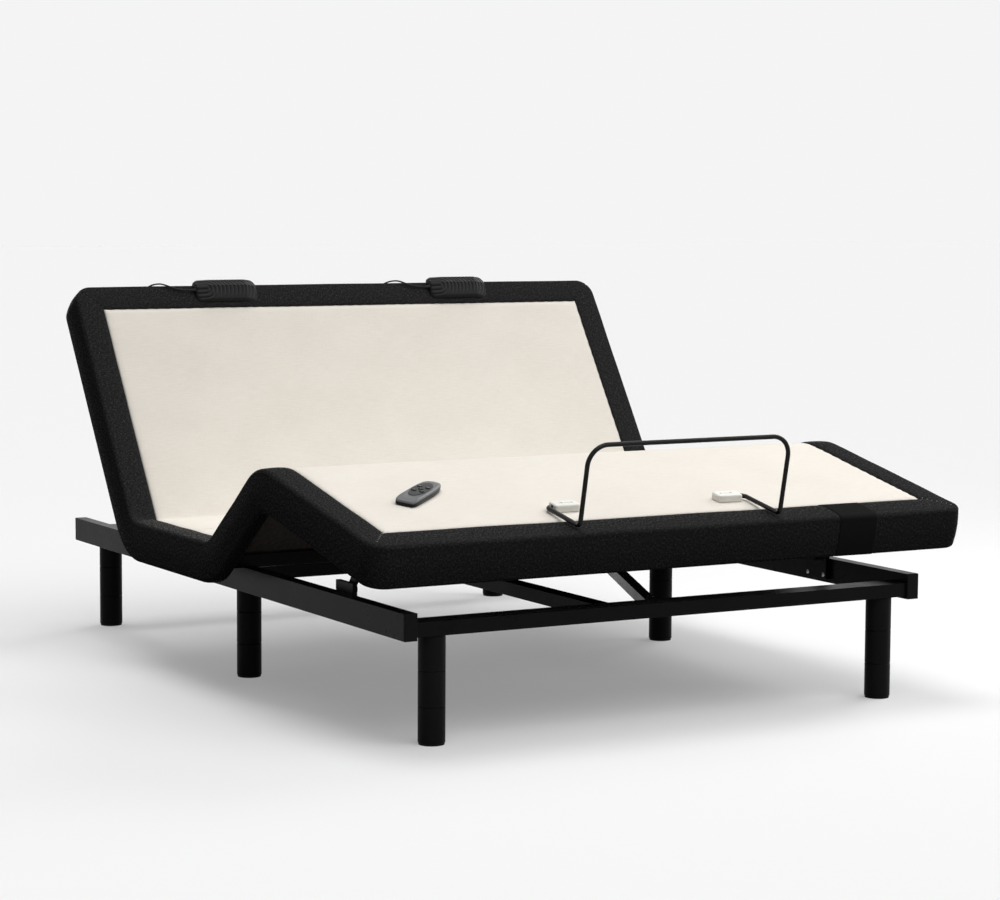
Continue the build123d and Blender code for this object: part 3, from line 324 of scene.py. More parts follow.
# the boards are kept near-black partly as the black finish such bases have underneath, and partly as painted
# shade for the shaded underside of the deck
shadeDarkBoard = grainedBoard("shadeDarkBoard", (0.020, 0.016, 0.013), (0.060, 0.048, 0.038))
sensorRubber = coated("sensorRubber", (0.008, 0.008, 0.0083), 0.30, peel=1500.0, specular=0.11)
leadRubber = coated("leadRubber", (0.012,) * 3, 0.50, peel=1500.0, specular=0.12)
bronzeRod = coated("bronzeRod", (0.009, 0.0085, 0.008), 0.26, depth=0.00005, specular=0.14)
clipPlastic = coated("clipPlastic", (0.92, 0.895, 0.840), 0.45, peel=900.0)
remoteGrey = coated("remoteGrey", (0.108, 0.110, 0.113), 0.42, peel=1800.0, depth=0.00005, specular=0.30)
remoteBlack = coated("remoteBlack", (0.010, 0.010, 0.011), 0.30, peel=1800.0, depth=0.00004, specular=0.12)
keyRubber = coated("keyRubber", (0.026, 0.026, 0.027), 0.55, peel=1800.0, depth=0.00005, specular=0.20)
threadGrey = coated("threadGrey", (0.32, 0.31, 0.30), 0.75)
threadDark = coated("threadDark", (0.030, 0.030, 0.031), 0.75)
markPale = coated("markPale", (0.62,) * 3, 0.55)
print("finishes made")

sections = ("head", "seat", "thigh", "calf")
rails = ["side_rail_left", "side_rail_right"]
tubes = ["foot_crossbar", "mid_crossbar", "head_crossbar", "seat_cross_tubes", "head_subframe",
         "thigh_subframe", "calf_subframe"]
brackets = ["link_brackets", "calf_link_ears", "calf_links", "head_lever", "thigh_lever", "drive_channels",
            "diagonal_brace"]
boxes, nuts = ["drive_gearboxes", "control_box"], ["head_drive_nut", "leg_drive_nut"]
keyNodes = ["remote_key_" + str(number) for number in range(1, 6)]
nodeFinish = {
    blackPaint: rails + tubes + brackets,
    capPlastic: ["rail_end_caps", "cord_grommets"],
    legBlack: ["leg_upper_sections", "leg_middle_sections", "leg_lower_sections"],
    glideRubber: ["leg_glides"],
    drivePlastic: boxes,
    motorSteel: ["drive_motors"],
    zincSteel: [*(name + "_hinge_leaves" for name in sections), "head_drive_screw", "leg_drive_screw"],
    nutPlastic: nuts,
    shadeDarkBoard: [name + "_board" for name in sections],
    charcoalKnit: [*(name + "_border" for name in sections), "head_gusset", "thigh_gusset", "knee_gusset"],
    creamTop: [name + "_pad" for name in sections],
    sensorRubber: ["sensor_pads"],
    leadRubber: ["sensor_cords"],
    bronzeRod: ["retainer_bar"],
    clipPlastic: ["retainer_clips"],
    remoteGrey: ["remote_case"],
    remoteBlack: ["remote_face"],
    keyRubber: keyNodes,
}
for coat, names in nodeFinish.items():
    for name in names:
        slots = node[name].data.materials
        slots.clear()
        slots.append(coat)


def dress(piece, coat):
    piece.data.materials.clear()
    piece.data.materials.append(coat)
    return piece


# padded cover: charcoal edge band and cream top, in pieces that meet in the middle of the seat and thigh
cover = {
    "headSoft": 0.075, "thighSoft": 0.110, "crease": 0.006, "kneeRound": 0.100, "seamGap": 0.0003,
    "seamDip": 0.0045, "seamWidth": 0.0035, "crown": 0.0014, "mitre": 0.0016, "mitreWidth": 0.0028,
    "mitreSide": 0.1, "mitreEnd": 0.12, "innerRound": 0.004, "uneven": 0.0004, "skirtGap": 0.0004,
    "lining": 0.0005, "reach": 0.055, "kneeReach": 0.9, "step": 0.009, "topSteps": 24, "edgeSteps": 10,
    "sideSteps": 13, "hemSteps": 7, "turnSteps": 23, "endSteps": 150, "runSteps": 47,
}


# bend of a flat strip: straight up to the fold, then a round about a centre above the line, then straight.
# The round turns through the fold angle in proportion to the distance along it.
def bend(along, out, turn, centre):
    reach = np.abs(centre * tan(turn / 2))
    share = np.clip((along + reach) / (2 * reach), 0, 1)
    angle = turn * share
    roundY = -reach + (centre - out) * np.sin(angle)
    roundZ = centre - (centre - out) * np.cos(angle)
    afterY = along * cos(turn) - out * sin(turn)
    afterZ = along * sin(turn) + out * cos(turn)
    y = np.where(along <= -reach, along, np.where(along >= reach, afterY, roundY))
    z = np.where(along <= -reach, out, np.where(along >= reach, afterZ, roundZ))
    return y, z


# softness of a fold: a crease at the inner seam that opens with the square of the way out to the edge
def softness(inward, widest):
    way = 1 - np.clip(inward / deck["border"], 0, 1)
    return deck["top"] + cover["crease"] + (widest - cover["crease"]) * way ** 2


# cloth over each fold: the bent strip, set at the hinge, with its run towards the head or the foot
def atHead(x, along, out, inward):
    y, z = bend(along, out, deck["headAngle"], softness(inward, cover["headSoft"]))
    return np.stack([x, deck["headHinge"][0] + y, deck["headHinge"][1] + z], axis=-1)


def atThigh(x, along, out, inward):
    y, z = bend(along, out, deck["thighAngle"], softness(inward, cover["thighSoft"]))
    return np.stack([x, deck["thighHinge"][0] - y, deck["thighHinge"][1] + z], axis=-1)


# over the knee the strip bends down, about a centre below it, and is turned by the thigh's own angle
def atKnee(x, along, out, inward):
    turn = deck["thighAngle"] + deck["calfSlope"]
    y, z = bend(along, out + deck["kneeDrop"], -turn, np.full_like(x, -cover["kneeRound"]))
    c, s = cos(deck["thighAngle"]), sin(deck["thighAngle"])
    return np.stack([x, deck["knee"][0] - y * c + z * s, deck["knee"][1] + y * s + z * c], axis=-1)


# cross-section of the edge band as (distance in from the outer face, height): dips at the seam, crowns a
# little, rounds over the edge, swells down the side, rounds under the hem and comes back up inside
def bandProfile():
    edge, hem, top, bottom = deck["edge"], deck["hem"], deck["top"], deck["bottom"]
    seam, back, lining = deck["border"] - cover["seamGap"], deck["skirt"] - cover["skirtGap"], cover["lining"]
    way = np.linspace(0, 1, cover["topSteps"]) ** 1.4
    inTop = seam - way * (seam - edge)
    dip = cover["seamDip"] * np.exp(-(deck["border"] - inTop) / cover["seamWidth"])
    outTop = top - dip + cover["crown"] * np.sin(pi * way)
    turn = np.linspace(0, pi / 2, cover["edgeSteps"] + 1)[1:]
    inEdge, outEdge = edge - edge * np.sin(turn), top - edge + edge * np.cos(turn)
    fall = np.linspace(0, 1, cover["sideSteps"] + 1)[1:]
    inSide = -deck["bulge"] * np.sin(pi * fall)
    outSide = top - edge + fall * (bottom + hem - top + edge)
    turn = np.linspace(0, pi / 2, cover["hemSteps"] + 1)[1:]
    inHem, outHem = hem - hem * np.cos(turn), bottom + hem - hem * np.sin(turn)
    inBack = np.array([0.016, 0.023, back, back, back, back, 0.044, 0.056, seam])
    outBack = np.array([bottom, bottom, bottom + 0.002, -0.045, -0.020, lining, lining, lining, lining])
    inward = np.concatenate([inTop, inEdge, inSide, inHem, inBack])
    return inward, np.concatenate([outTop, outEdge, outSide, outHem, outBack])


bandIn, bandOut = bandProfile()
bandOver = np.concatenate([[0], np.cumsum(np.hypot(np.diff(bandIn), np.diff(bandOut)))])
shownSteps = cover["topSteps"] + cover["edgeSteps"] + cover["sideSteps"]
shownBand = np.arange(len(bandIn)) < shownSteps


# the flat of the band widens evenly to the end's own width beyond the skirt
def widened(inward, endBorder):
    way = np.clip((inward - deck["skirt"]) / (deck["border"] - deck["skirt"]), 0, 1)
    return inward + (endBorder - deck["border"]) * way


# route of the band round three sides of a section, for every distance in from the edge at once:
# up the left side, a quarter round whose radius shrinks inwards to almost nothing, across the end, and back
def threeSides(start, end, endBorder):
    half, small = deck["half"], cover["innerRound"]
    inward, endIn = bandIn, widened(bandIn, endBorder)
    radiusX, radiusS = np.maximum(deck["corner"] - inward, small), np.maximum(deck["corner"] - endIn, small)
    cornerX, cornerS = half - inward - radiusX, end - endIn - radiusS
    side = np.linspace(0, 1, int((end - start) / cover["step"]), endpoint=False)[:, None]
    turn = np.linspace(0, pi / 2, cover["turnSteps"])[:, None]
    across = np.linspace(0, 1, cover["endSteps"])[1:-1, None]
    leftX, leftS = -(half - inward) + 0 * side, start + side * (cornerS - start)
    roundX, roundS = -cornerX - radiusX * np.cos(turn), cornerS + radiusS * np.sin(turn)
    endX, endS = -cornerX + 2 * cornerX * across, (end - endIn) + 0 * across
    x = np.concatenate([leftX, roundX, endX, -roundX[::-1], -leftX[::-1]])
    s = np.concatenate([leftS, roundS, endS, roundS[::-1], leftS[::-1]])
    return x, s


# sewn corner: a narrow dip along the line from corner to corner, a bell curve of the distance from it
def mitreDip(x, s, end, endBorder):
    fromSide, fromEnd = deck["half"] - np.abs(x), end - s
    near = (fromSide < cover["mitreSide"]) & (fromEnd < cover["mitreEnd"])
    apart = (fromSide * endBorder / deck["border"] - fromEnd) / cover["mitreWidth"]
    return np.where(near, cover["mitre"] * np.exp(-apart ** 2), 0) * shownBand


# slow unevenness of hand-pulled cloth, a sum of a few long waves
def unevenness(x, s, size):
    wave = np.sin(19 * x + 7 * s + 0.4) * np.cos(23 * s - 5 * x) + 0.6 * np.sin(41 * s + 13 * x + 1.1)
    return size * wave


# the band's section carried along its route; the weave runs along the outer edge and over the section
def bandPiece(name, x, s, place, end=None, endBorder=None):
    out = bandOut + unevenness(x, s, cover["uneven"]) * shownBand
    if end is not None:
        out = out - mitreDip(x, s, end, endBorder)
    edge = int(np.argmin(np.abs(bandIn[:shownSteps])))
    run = np.concatenate([[0], np.cumsum(np.hypot(np.diff(x[:, edge]), np.diff(s[:, edge])))])
    uv = np.stack(np.broadcast_arrays(run[:, None], bandOver), axis=-1)
    return gridMesh(name, place(x, s, out, bandIn), loopCols=True, caps=True, uv=uv, sharp=45)


midSeat, midThigh = deck["seatLength"] / 2, deck["thighLength"] / 2
headX, headS = threeSides(-midSeat, deck["headLength"], deck["border"])
headBand = bandPiece("headBand", headX, headS, atHead, deck["headLength"], deck["border"])
sideRun = np.linspace(-midSeat, midThigh, cover["runSteps"])[:, None] + 0 * bandIn
sideX = np.broadcast_to(bandIn - deck["half"], sideRun.shape)
thighBands = [bandPiece("thighBandLeft", sideX, sideRun, atThigh),
              bandPiece("thighBandRight", -sideX, sideRun, atThigh)]
calfX, calfS = threeSides(-midThigh, deck["calfLength"], deck["footBorder"])
calfBand = bandPiece("calfBand", calfX, calfS, atKnee, deck["calfLength"], deck["footBorder"])


def soft(piece, coat, slot, fold, fill, *replaced):
    dress(piece, coat)
    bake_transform(piece)
    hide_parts(*replaced)


soft(headBand, charcoalKnit, "charcoal_fabric", "head", 0.8, "head_border", "head_gusset", "seat_border")
for band in thighBands:
    soft(band, charcoalKnit, "charcoal_fabric", "thigh", 0.8, "thigh_border", "thigh_gusset")
soft(calfBand, charcoalKnit, "charcoal_fabric", "knee", 0.8, "calf_border", "knee_gusset")
print("edge band sewn")

cream = {
    "under": 0.0008, "seamWidth": 0.005, "uneven": 0.00035, "thick": 0.010, "columns": 121, "step": 0.0095,
    "pucker": 0.0006, "puckerReach": 0.03, "puckerRate": 210,
}


def thicken(piece, thickness):
    thick = piece.modifiers.new("thickness", "SOLIDIFY")
    thick.thickness, thick.offset = thickness, -1
    return piece


# cream top: a flat sheet over the board that dips to the seam at its edges, as an exponential of the distance
# in, with small puckers beside the seam, a sine along it that fades inwards
def creamPiece(name, start, end, place, endBorder=None):
    half = deck["half"] - deck["border"] + cover["seamGap"]
    way = np.linspace(-1, 1, cream["columns"])
    x = half * np.sign(way) * (1 - (1 - np.abs(way)) ** 1.25)
    closedEnd = endBorder is not None
    far = end - endBorder + cover["seamGap"] if closedEnd else end
    share = np.linspace(0, 1, int((far - start) / cream["step"]))
    s = start + (far - start) * (1 - (1 - share) ** 1.15 if closedEnd else share)
    x, s = np.broadcast_arrays(x, s[:, None])
    inside = np.minimum(half - np.abs(x), far - s if closedEnd else 1.0)
    dip = cover["seamDip"] * np.exp(-inside / cream["seamWidth"])
    beside = np.where(half - np.abs(x) < far - s, s, x)
    ripple = np.sin(cream["puckerRate"] * beside + 3 * np.sin(17 * s))
    out = deck["top"] - cream["under"] - dip + unevenness(x, s, cream["uneven"])
    out = out + cream["pucker"] * np.exp(-inside / cream["puckerReach"]) * ripple
    uv = np.stack([x, s], axis=-1)
    piece = gridMesh(name, place(x, s, out, np.full(x.shape, deck["border"])), uv=uv, sharp=60)
    return thicken(facedTo(piece, (0, 0, 1)), cream["thick"])


headTop = creamPiece("headTop", -midSeat, deck["headLength"], atHead, deck["border"])
thighTop = creamPiece("thighTop", -midSeat, midThigh, atThigh)
calfTop = creamPiece("calfTop", -midThigh, deck["calfLength"], atKnee, deck["footBorder"])
soft(headTop, creamTop, "cream_fabric", "head", 0.9, "head_pad", "seat_pad")
soft(thighTop, creamTop, "cream_fabric", "thigh", 0.9, "thigh_pad")
soft(calfTop, creamTop, "cream_fabric", "knee", 0.9, "calf_pad")
print("cream top laid")

# bare woven band round the foot edge
label = {"left": 0.395, "right": 0.495, "proud": 0.0009, "thick": 0.0012, "columns": 24, "hemSteps": 4}


# the edge band's own section, moved out along its normals, carried across the label's width
def labelBand():
    shown = slice(1, shownSteps + label["hemSteps"])
    inward, out = bandIn[shown], bandOut[shown]
    slopeIn, slopeOut = np.gradient(inward), np.gradient(out)
    size = np.hypot(slopeIn, slopeOut)
    inward, out = inward + label["proud"] * slopeOut / size, out - label["proud"] * slopeIn / size
    x = np.linspace(label["left"], label["right"], label["columns"])[:, None] + 0 * inward
    run = deck["calfLength"] - widened(inward, deck["footBorder"]) + 0 * x
    out = out + unevenness(x, run, cover["uneven"])
    uv = np.stack([x, np.broadcast_to(bandOver[shown], x.shape)], axis=-1)
    piece = gridMesh("footLabel", atKnee(x, run, out, 0 * x), uv=uv)
    return thicken(facedTo(piece, (0, -1, 0)), label["thick"])


footLabel = dress(labelBand(), labelWeave)
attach(footLabel, "calf")
print("label band on")

# sensor leads: the same points as the solids have, in the head section's own measure
lead = {
    "radius": 0.002,
    "points": [
        (-0.0860, 0.640, 0.02533), (-0.1060, 0.640, 0.02533), (-0.1310, 0.644, 0.02333),
        (-0.1530, 0.654, 0.02333), (-0.1680, 0.6615, 0.0220), (-0.1770, 0.6675, 0.0125),
        (-0.1820, 0.6755, -0.0050), (-0.1860, 0.682, -0.0270), (-0.1860, 0.675, -0.0360),
        (-0.1860, 0.666, -0.0360),
    ],
    "places": {"Left": -0.341, "Right": 0.323},
    "length": 0.161,
}
for side, x in lead["places"].items():
    route = onSection("head", np.array(lead["points"]) + (x, 0, 0))
    curve = bpy.data.curves.new("sensorLead" + side, "CURVE")
    curve.dimensions = "3D"
    curve.bevel_depth, curve.bevel_resolution, curve.use_fill_caps = lead["radius"], 4, True
    spline = curve.splines.new("NURBS")
    spline.points.add(len(route) - 1)
    spline.points.foreach_set("co", np.column_stack([route, np.ones(len(route))]).ravel())
    spline.order_u, spline.use_endpoint_u, spline.resolution_u = 3, True, 10
    piece = dress(linked("sensorLead" + side, curve), leadRubber)
    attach(piece, "head")
    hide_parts("sensor_cords")
print("sensor leads run")

# sensor pads: a pillow with two facets meeting in a ridge, and evenly spaced grooves about a line along it
sensor = {
    "halfLength": 0.0860, "halfWidth": 0.0320, "corner": 0.017, "height": 0.0215, "y": 0.640, "edge": 0.0075,
    "focus": -0.0570, "line": -0.003, "arc": 0.0365, "pitch": 0.0106, "groove": 0.0017, "ridge": 0.007,
    "frontFall": 0.30, "backFall": 0.42, "rightFall": (0.30, 0.052), "leftFall": (0.10, 0.050),
    "columns": 181, "rows": 73, "sink": 0.0006, "underside": 0.0008, "reliefIn": 0.012,
    "relief": [(0.0001, 0), (0.0046, 0), (0.0042, 0.012), (0.0030, 0.020), (0.0024, 0.0225),
               (0.0001, 0.0225)],
}


def sensorTop(x):
    long, wide, corner, ridge = (sensor[k] for k in ("halfLength", "halfWidth", "corner", "ridge"))
    across, along = np.meshgrid(np.linspace(-1, 1, sensor["columns"]) * long,
                                np.linspace(-1, 1, sensor["rows"]) * wide, indexing="ij")
    overX = np.maximum(np.abs(across) - long + corner, 0)
    overY = np.maximum(np.abs(along) - wide + corner, 0)
    # square corner cells are pulled in onto a quarter disc
    over = np.hypot(overX, overY)
    pull = np.where(over > 0, np.maximum(overX, overY) / np.maximum(over, 1e-9), 1)
    across = across - np.sign(across) * overX * (1 - pull)
    along = along - np.sign(along) * overY * (1 - pull)
    inCorner = np.where((overX > 0) & (overY > 0), corner - np.hypot(overX * pull, overY * pull), 1)
    rim = np.minimum(np.minimum(long - np.abs(across), wide - np.abs(along)), inCorner)
    # two slopes down from the ridge, and a little more fall at both ends
    front, back = sensor["frontFall"] * (ridge - along), sensor["backFall"] * (along - ridge)
    tall = sensor["height"] - np.where(along < ridge, front, back)
    for sign, (slope, start) in ((1, sensor["rightFall"]), (-1, sensor["leftFall"])):
        tall = tall - slope * np.maximum(sign * across - start, 0)
    # grooves ring the focus up to one arc radius, and from there the same arc repeats to the right
    ahead, aside = np.maximum(across - sensor["focus"], 0), along - sensor["line"]
    half = np.sqrt(np.maximum(sensor["arc"] ** 2 - aside ** 2, 0))
    reach = np.where(ahead > half, ahead + sensor["arc"] - half, np.hypot(ahead, aside))
    groove = sensor["groove"] * np.abs(np.cos(pi * reach / sensor["pitch"])) ** 5
    share = np.clip(rim / sensor["edge"], 0, 1)
    tall = (tall - groove) * np.sqrt(1 - (1 - share) ** 2)
    height = deck["top"] + np.maximum(tall, 0) - sensor["sink"]
    return np.stack([across + x, along + sensor["y"], height], axis=-1)


# each pad is its top and a flat underside; the lead's relief is a tapered boss about its exit
padGrids, reliefGrids = [], []
exitAxes = np.array([(0, 1, 0), (0, 0, 1), (-1, 0, 0)])
for x in lead["places"].values():
    top = sensorTop(x)
    under = top.copy()
    under[..., 2] = deck["top"] - sensor["underside"]
    padGrids += [onSection("head", top), onSection("head", under[:, ::-1])]
    exitSpot = (x - sensor["halfLength"] + sensor["reliefIn"], sensor["y"], lead["points"][0][2])
    reliefGrids.append(onSection("head", placed(turned(sensor["relief"], 20), exitSpot, exitAxes)))
padPiece = facedTo(gridsMesh("sensorPads", padGrids, loopCols=False, sharp=35), (0, 0, 1))
dress(padPiece, sensorRubber)
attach(padPiece, "head")
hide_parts("sensor_pads")
reliefs = dress(gridsMesh("leadReliefs", reliefGrids), leadRubber)
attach(reliefs, "head")
print("sensor pads moulded")

# retainer clips: rounded blocks on the calf band, with two countersunk screws each
clip = {
    "middle": -0.011, "x": 0.206, "y": -0.395, "base": 0.039, "screws": (-0.017, 0.009),
    "block": {"halfX": 0.031, "halfY": 0.017, "corner": 0.0065, "depth": 0.0158, "topRound": 0.0042,
              "baseRound": 0.0012},
    "screw": [(0.0001, 0.0012), (0.0012, 0.0012), (0.0016, 0.0003), (0.0030, 0.0006), (0.0038, 0.0002),
              (0.0040, -0.0006), (0.0001, -0.0008)],
}
clipAxes = sectionAxes("calf")
clipBlock = moulded(**clip["block"])
clipGrids, screwGrids = [], []
for sign in (-1, 1):
    spot = onSection("calf", (clip["middle"] + sign * clip["x"], clip["y"], clip["base"]))
    clipGrids.append(placed(clipBlock, spot, clipAxes))
    for away in clip["screws"]:
        x = clip["middle"] + sign * (clip["x"] + away)
        spot = onSection("calf", (x, clip["y"], clip["base"] + clip["block"]["depth"]))
        screwGrids.append(placed(turned(clip["screw"], 24), spot, clipAxes))
clips = dress(gridsMesh("retainerClips", clipGrids), clipPlastic)
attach(clips, "calf")
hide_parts("retainer_clips")
clipScrews = dress(gridsMesh("clipScrews", screwGrids), zincSteel)
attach(clipScrews, "calf")
print("retainer clips moulded")

# remote case: blunt at the near end, round at the far end and lifted under it, arched along its length, with
# a well under the key face for the keys to travel in
remote = {
    "x": -0.490, "y": -0.260, "base": 0.039, "turn": radians(39.6), "halfLength": 0.086,
    "halfWidth": 0.025, "depth": 0.016, "faceLength": 0.052, "faceWidth": 0.0185, "lift": 0.0045,
    "liftStart": 0.035, "arch": 0.0042, "baseRound": 0.003, "topRound": 0.0055, "well": 0.0066,
    "nearPower": 7.0, "farPower": 2.5, "around": 120,
    "groove": [(0.0, 0.0092), (0.0007, 0.0095), (0.0007, 0.0101), (0.0, 0.0104)],
}
turnCos, turnSin = cos(remote["turn"]), sin(remote["turn"])
remoteAxes = np.array([(turnCos, turnSin, 0), (-turnSin, turnCos, 0), (0, 0, 1)]) @ sectionAxes("calf")
remoteSpot = onSection("calf", (remote["x"], remote["y"], remote["base"]))


# one level of the case: a circle with its cosine and sine raised to a power, small at the blunt end; the base
# lifts, and the top drops, with the square of the distance along
def remoteRing(halfLength, halfWidth, height, blunt=True):
    angle = fullTurn(remote["around"])
    c, s = np.cos(angle), np.sin(angle)
    power = np.where(c < 0, 2 / remote["nearPower"], 2 / remote["farPower"]) if blunt else 1.0
    x = halfLength * np.sign(c) * np.abs(c) ** power
    y = halfWidth * np.sign(s) * np.abs(s) ** power
    full, face, start = (remote[k] for k in ("halfLength", "faceLength", "liftStart"))
    beyond = np.clip((np.abs(x) - face) / (full - face), 0, 1)
    lifted = np.clip((x - start) / (full - start), 0, 1) ** 2 * remote["lift"]
    share = height / remote["depth"]
    z = height + lifted * (1 - share) - remote["arch"] * beyond ** 2 * share
    return np.stack([x, y, z], axis=-1)


# the levels from the base's middle, up the side and down into the well, and which of them parts the shells
def remoteRings():
    full, wide, deep, well = (remote[k] for k in ("halfLength", "halfWidth", "depth", "well"))
    base, top = quarterRounds(deep, remote["topRound"], remote["baseRound"], 7)
    rings = [remoteRing(full * share, wide * share, 0) for share in (0.02, 0.6)]
    seam = len(rings) + len(base) + 2
    sides = base + remote["groove"] + top
    rings += [remoteRing(full - inset, wide - inset, height) for inset, height in sides]
    for share, drop in ((0.99, 0.0), (0.975, 0.0003), (0.975, well), (0.5, well), (0.02, well)):
        face = (remote["faceLength"] * share, remote["faceWidth"] * share)
        rings.append(remoteRing(*face, deep - drop, blunt=False))
    return placed(np.array(rings), remoteSpot, remoteAxes), seam


# a dark lower shell and a grey upper one, parted at the groove round the side
caseRings, caseSeam = remoteRings()
for name, rings, coat, slot in (("remoteTray", caseRings[:caseSeam], remoteBlack, "remote_black"),
                                ("remoteBody", caseRings[caseSeam - 1:], remoteGrey, "remote_grey")):
    shell = dress(gridMesh(name, rings, loopCols=True, caps=True, sharp=38), coat)
    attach(shell, "remote")
    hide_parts("remote_case")

# pale marks on the keys: two short bars meeting as an arrow, or one flat bar in the middle
keyMark = {
    "spots": [(-0.016, -0.009), (-0.016, 0.009), (0.016, -0.009), (0.016, 0.009), (0.0, 0.0)],
    "bar": {"halfX": 0.0024, "halfY": 0.00055, "corner": 0.0005, "depth": 0.00035, "topRound": 0.0001,
            "baseRound": 0.0001},
    "height": 0.0188, "lean": 0.75, "apart": 0.0015,
}
markBar = moulded(**keyMark["bar"])
for number, (x, y) in enumerate(keyMark["spots"], start=1):
    bars = []
    for lean in ((keyMark["lean"], -keyMark["lean"]) if y else (0.0,)):
        leanAxes = [(cos(lean), sin(lean), 0), (-sin(lean), cos(lean), 0), (0, 0, 1)]
        spot = (x, y - keyMark["apart"] * np.sign(y) * np.sign(lean), keyMark["height"])
        bars.append(placed(placed(markBar, spot, leanAxes), remoteSpot, remoteAxes))
    mark = dress(gridsMesh("keyMark" + str(number), bars), markPale)
    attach(mark, "key_" + str(number))
print("remote moulded")

# drive screws: a rod whose radius follows a rounded thread, three starts at a 12 mm lead, plain at one end
thread = {
    "radius": 0.0060, "depth": 0.0009, "lead": 0.012, "starts": 3, "pace": 0.0005, "plain": 0.034,
    "fade": 0.004, "height": 0.2435,
    "rods": (("head_drive_screw", "head_screw", 0.145, 0.1321, 0.4521),
             ("leg_drive_screw", "leg_screw", -0.145, -0.0159, -0.3359)),
}


def threadedRod(x, start, end):
    along = np.arange(start, end, copysign(thread["pace"], end - start))[:, None]
    angle = fullTurn(24)
    phase = thread["starts"] * (angle - 2 * pi * along / thread["lead"])
    worked = np.clip((np.abs(along - start) - thread["plain"]) / thread["fade"], 0, 1)
    radius = thread["radius"] - thread["depth"] * worked * (0.5 - 0.5 * np.cos(phase)) ** 0.6
    z = thread["height"] + radius * np.sin(angle)
    return np.stack([x + radius * np.cos(angle), along + 0 * angle, z], axis=-1)


for name, body, x, start, end in thread["rods"]:
    rod = gridMesh(body + "Thread", threadedRod(x, start, end), loopCols=True, caps=True, sharp=60)
    dress(rod, zincSteel)
    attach(rod, body)
    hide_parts(name)
print("drive screws threaded")

# motors: a drawn can with a rolled groove, a dark end cap and its two long screws, turned about the bed's x
motor = {
    "places": ((-1, -0.0039), (1, 0.1201)), "x": 0.113, "height": 0.243, "screwCircle": 0.019,
    "screwTurn": 0.6,
    "can": [(0.0001, 0), (0.0245, 0), (0.0272, 0.0012), (0.0278, 0.003), (0.0278, 0.014), (0.0266, 0.0152),
            (0.0266, 0.017), (0.0278, 0.0182), (0.0278, 0.086), (0.0001, 0.086)],
    "cap": [(0.0001, 0.0865), (0.0262, 0.0865), (0.0279, 0.088), (0.0279, 0.1005), (0.0262, 0.1035),
            (0.0120, 0.1042), (0.0110, 0.1048), (0.0001, 0.1048)],
    "screw": [(0.0001, 0.1052), (0.0018, 0.1052), (0.0028, 0.1046), (0.0030, 0.1030), (0.0001, 0.1030)],
}
canGrids, capGrids, frameScrews = [], [], []
for side, y in motor["places"]:
    axes = np.array([(0, 1, 0), (0, 0, side), (-side, 0, 0)])
    spot = (side * motor["x"], y, motor["height"])
    canGrids.append(placed(turned(motor["can"], 56), spot, axes))
    capGrids.append(placed(turned(motor["cap"], 56), spot, axes))
    for turn in (motor["screwTurn"], motor["screwTurn"] + pi):
        away = motor["screwCircle"] * np.array((cos(turn), sin(turn), 0))
        frameScrews.append(placed(turned(motor["screw"], 18) + away, spot, axes))
motorCans = dress(gridsMesh("motorCans", canGrids, sharp=30), motorSteel)
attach(motorCans, "frame")
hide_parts("drive_motors")
motorCaps = dress(gridsMesh("motorCaps", capGrids, sharp=30), drivePlastic)
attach(motorCaps, "frame")

# screws on the frame: a washer and a low dome with a round recess, turned about the face's own normal
screw = {
    "head": [(0.000055, 0.00132), (0.00121, 0.00132), (0.00143, 0.00264), (0.00253, 0.00228),
             (0.00341, 0.00132), (0.00363, 0.00072), (0.004675, 0.00066), (0.00484, 0.00036),
             (0.00484, -0.00024), (0.000055, -0.00024)],
    "bracketX": 0.606, "bracketRows": (-0.569, -0.509), "bracketHeight": 0.240,
    "boxColumns": (-0.418, -0.282), "boxRows": (0.100, 0.176), "boxHeight": 0.232,
    "gearX": 0.145, "gearAway": (-0.025, 0.025), "gearHeight": 0.214,
}
screwHead = turned(screw["head"])
for side in (-1, 1):
    inwards = np.array([(0, 1, 0), (0, 0, -side), (-side, 0, 0)])
    for y in screw["bracketRows"]:
        frameScrews.append(placed(screwHead, (side * screw["bracketX"], y, screw["bracketHeight"]), inwards))
downwards = np.array([(1, 0, 0), (0, -1, 0), (0, 0, -1)])
undersides = [(x, y, screw["boxHeight"]) for x in screw["boxColumns"] for y in screw["boxRows"]]
undersides += [(side * screw["gearX"] + awayX, y + awayY, screw["gearHeight"]) for side, y in motor["places"]
               for awayX in screw["gearAway"] for awayY in screw["gearAway"]]
frameScrews += [placed(screwHead, spot, downwards) for spot in undersides]
screws = dress(gridsMesh("frameScrews", frameScrews, sharp=35), zincSteel)
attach(screws, "frame")
print("screws set")

# thread at the sewn corners: short stitches across each mitre, small tubes with tapered ends
stitch = {
    "length": 0.0062, "radius": 0.0006, "first": 0.34, "last": 0.94, "footCount": 7, "headCount": 6,
    "leanSide": 0.80, "leanEnd": 0.60, "proud": 0.0007, "dive": 0.0012, "rings": 9, "around": 8,
}


def unit(vectors):
    return vectors / np.linalg.norm(vectors, axis=1)[:, None]


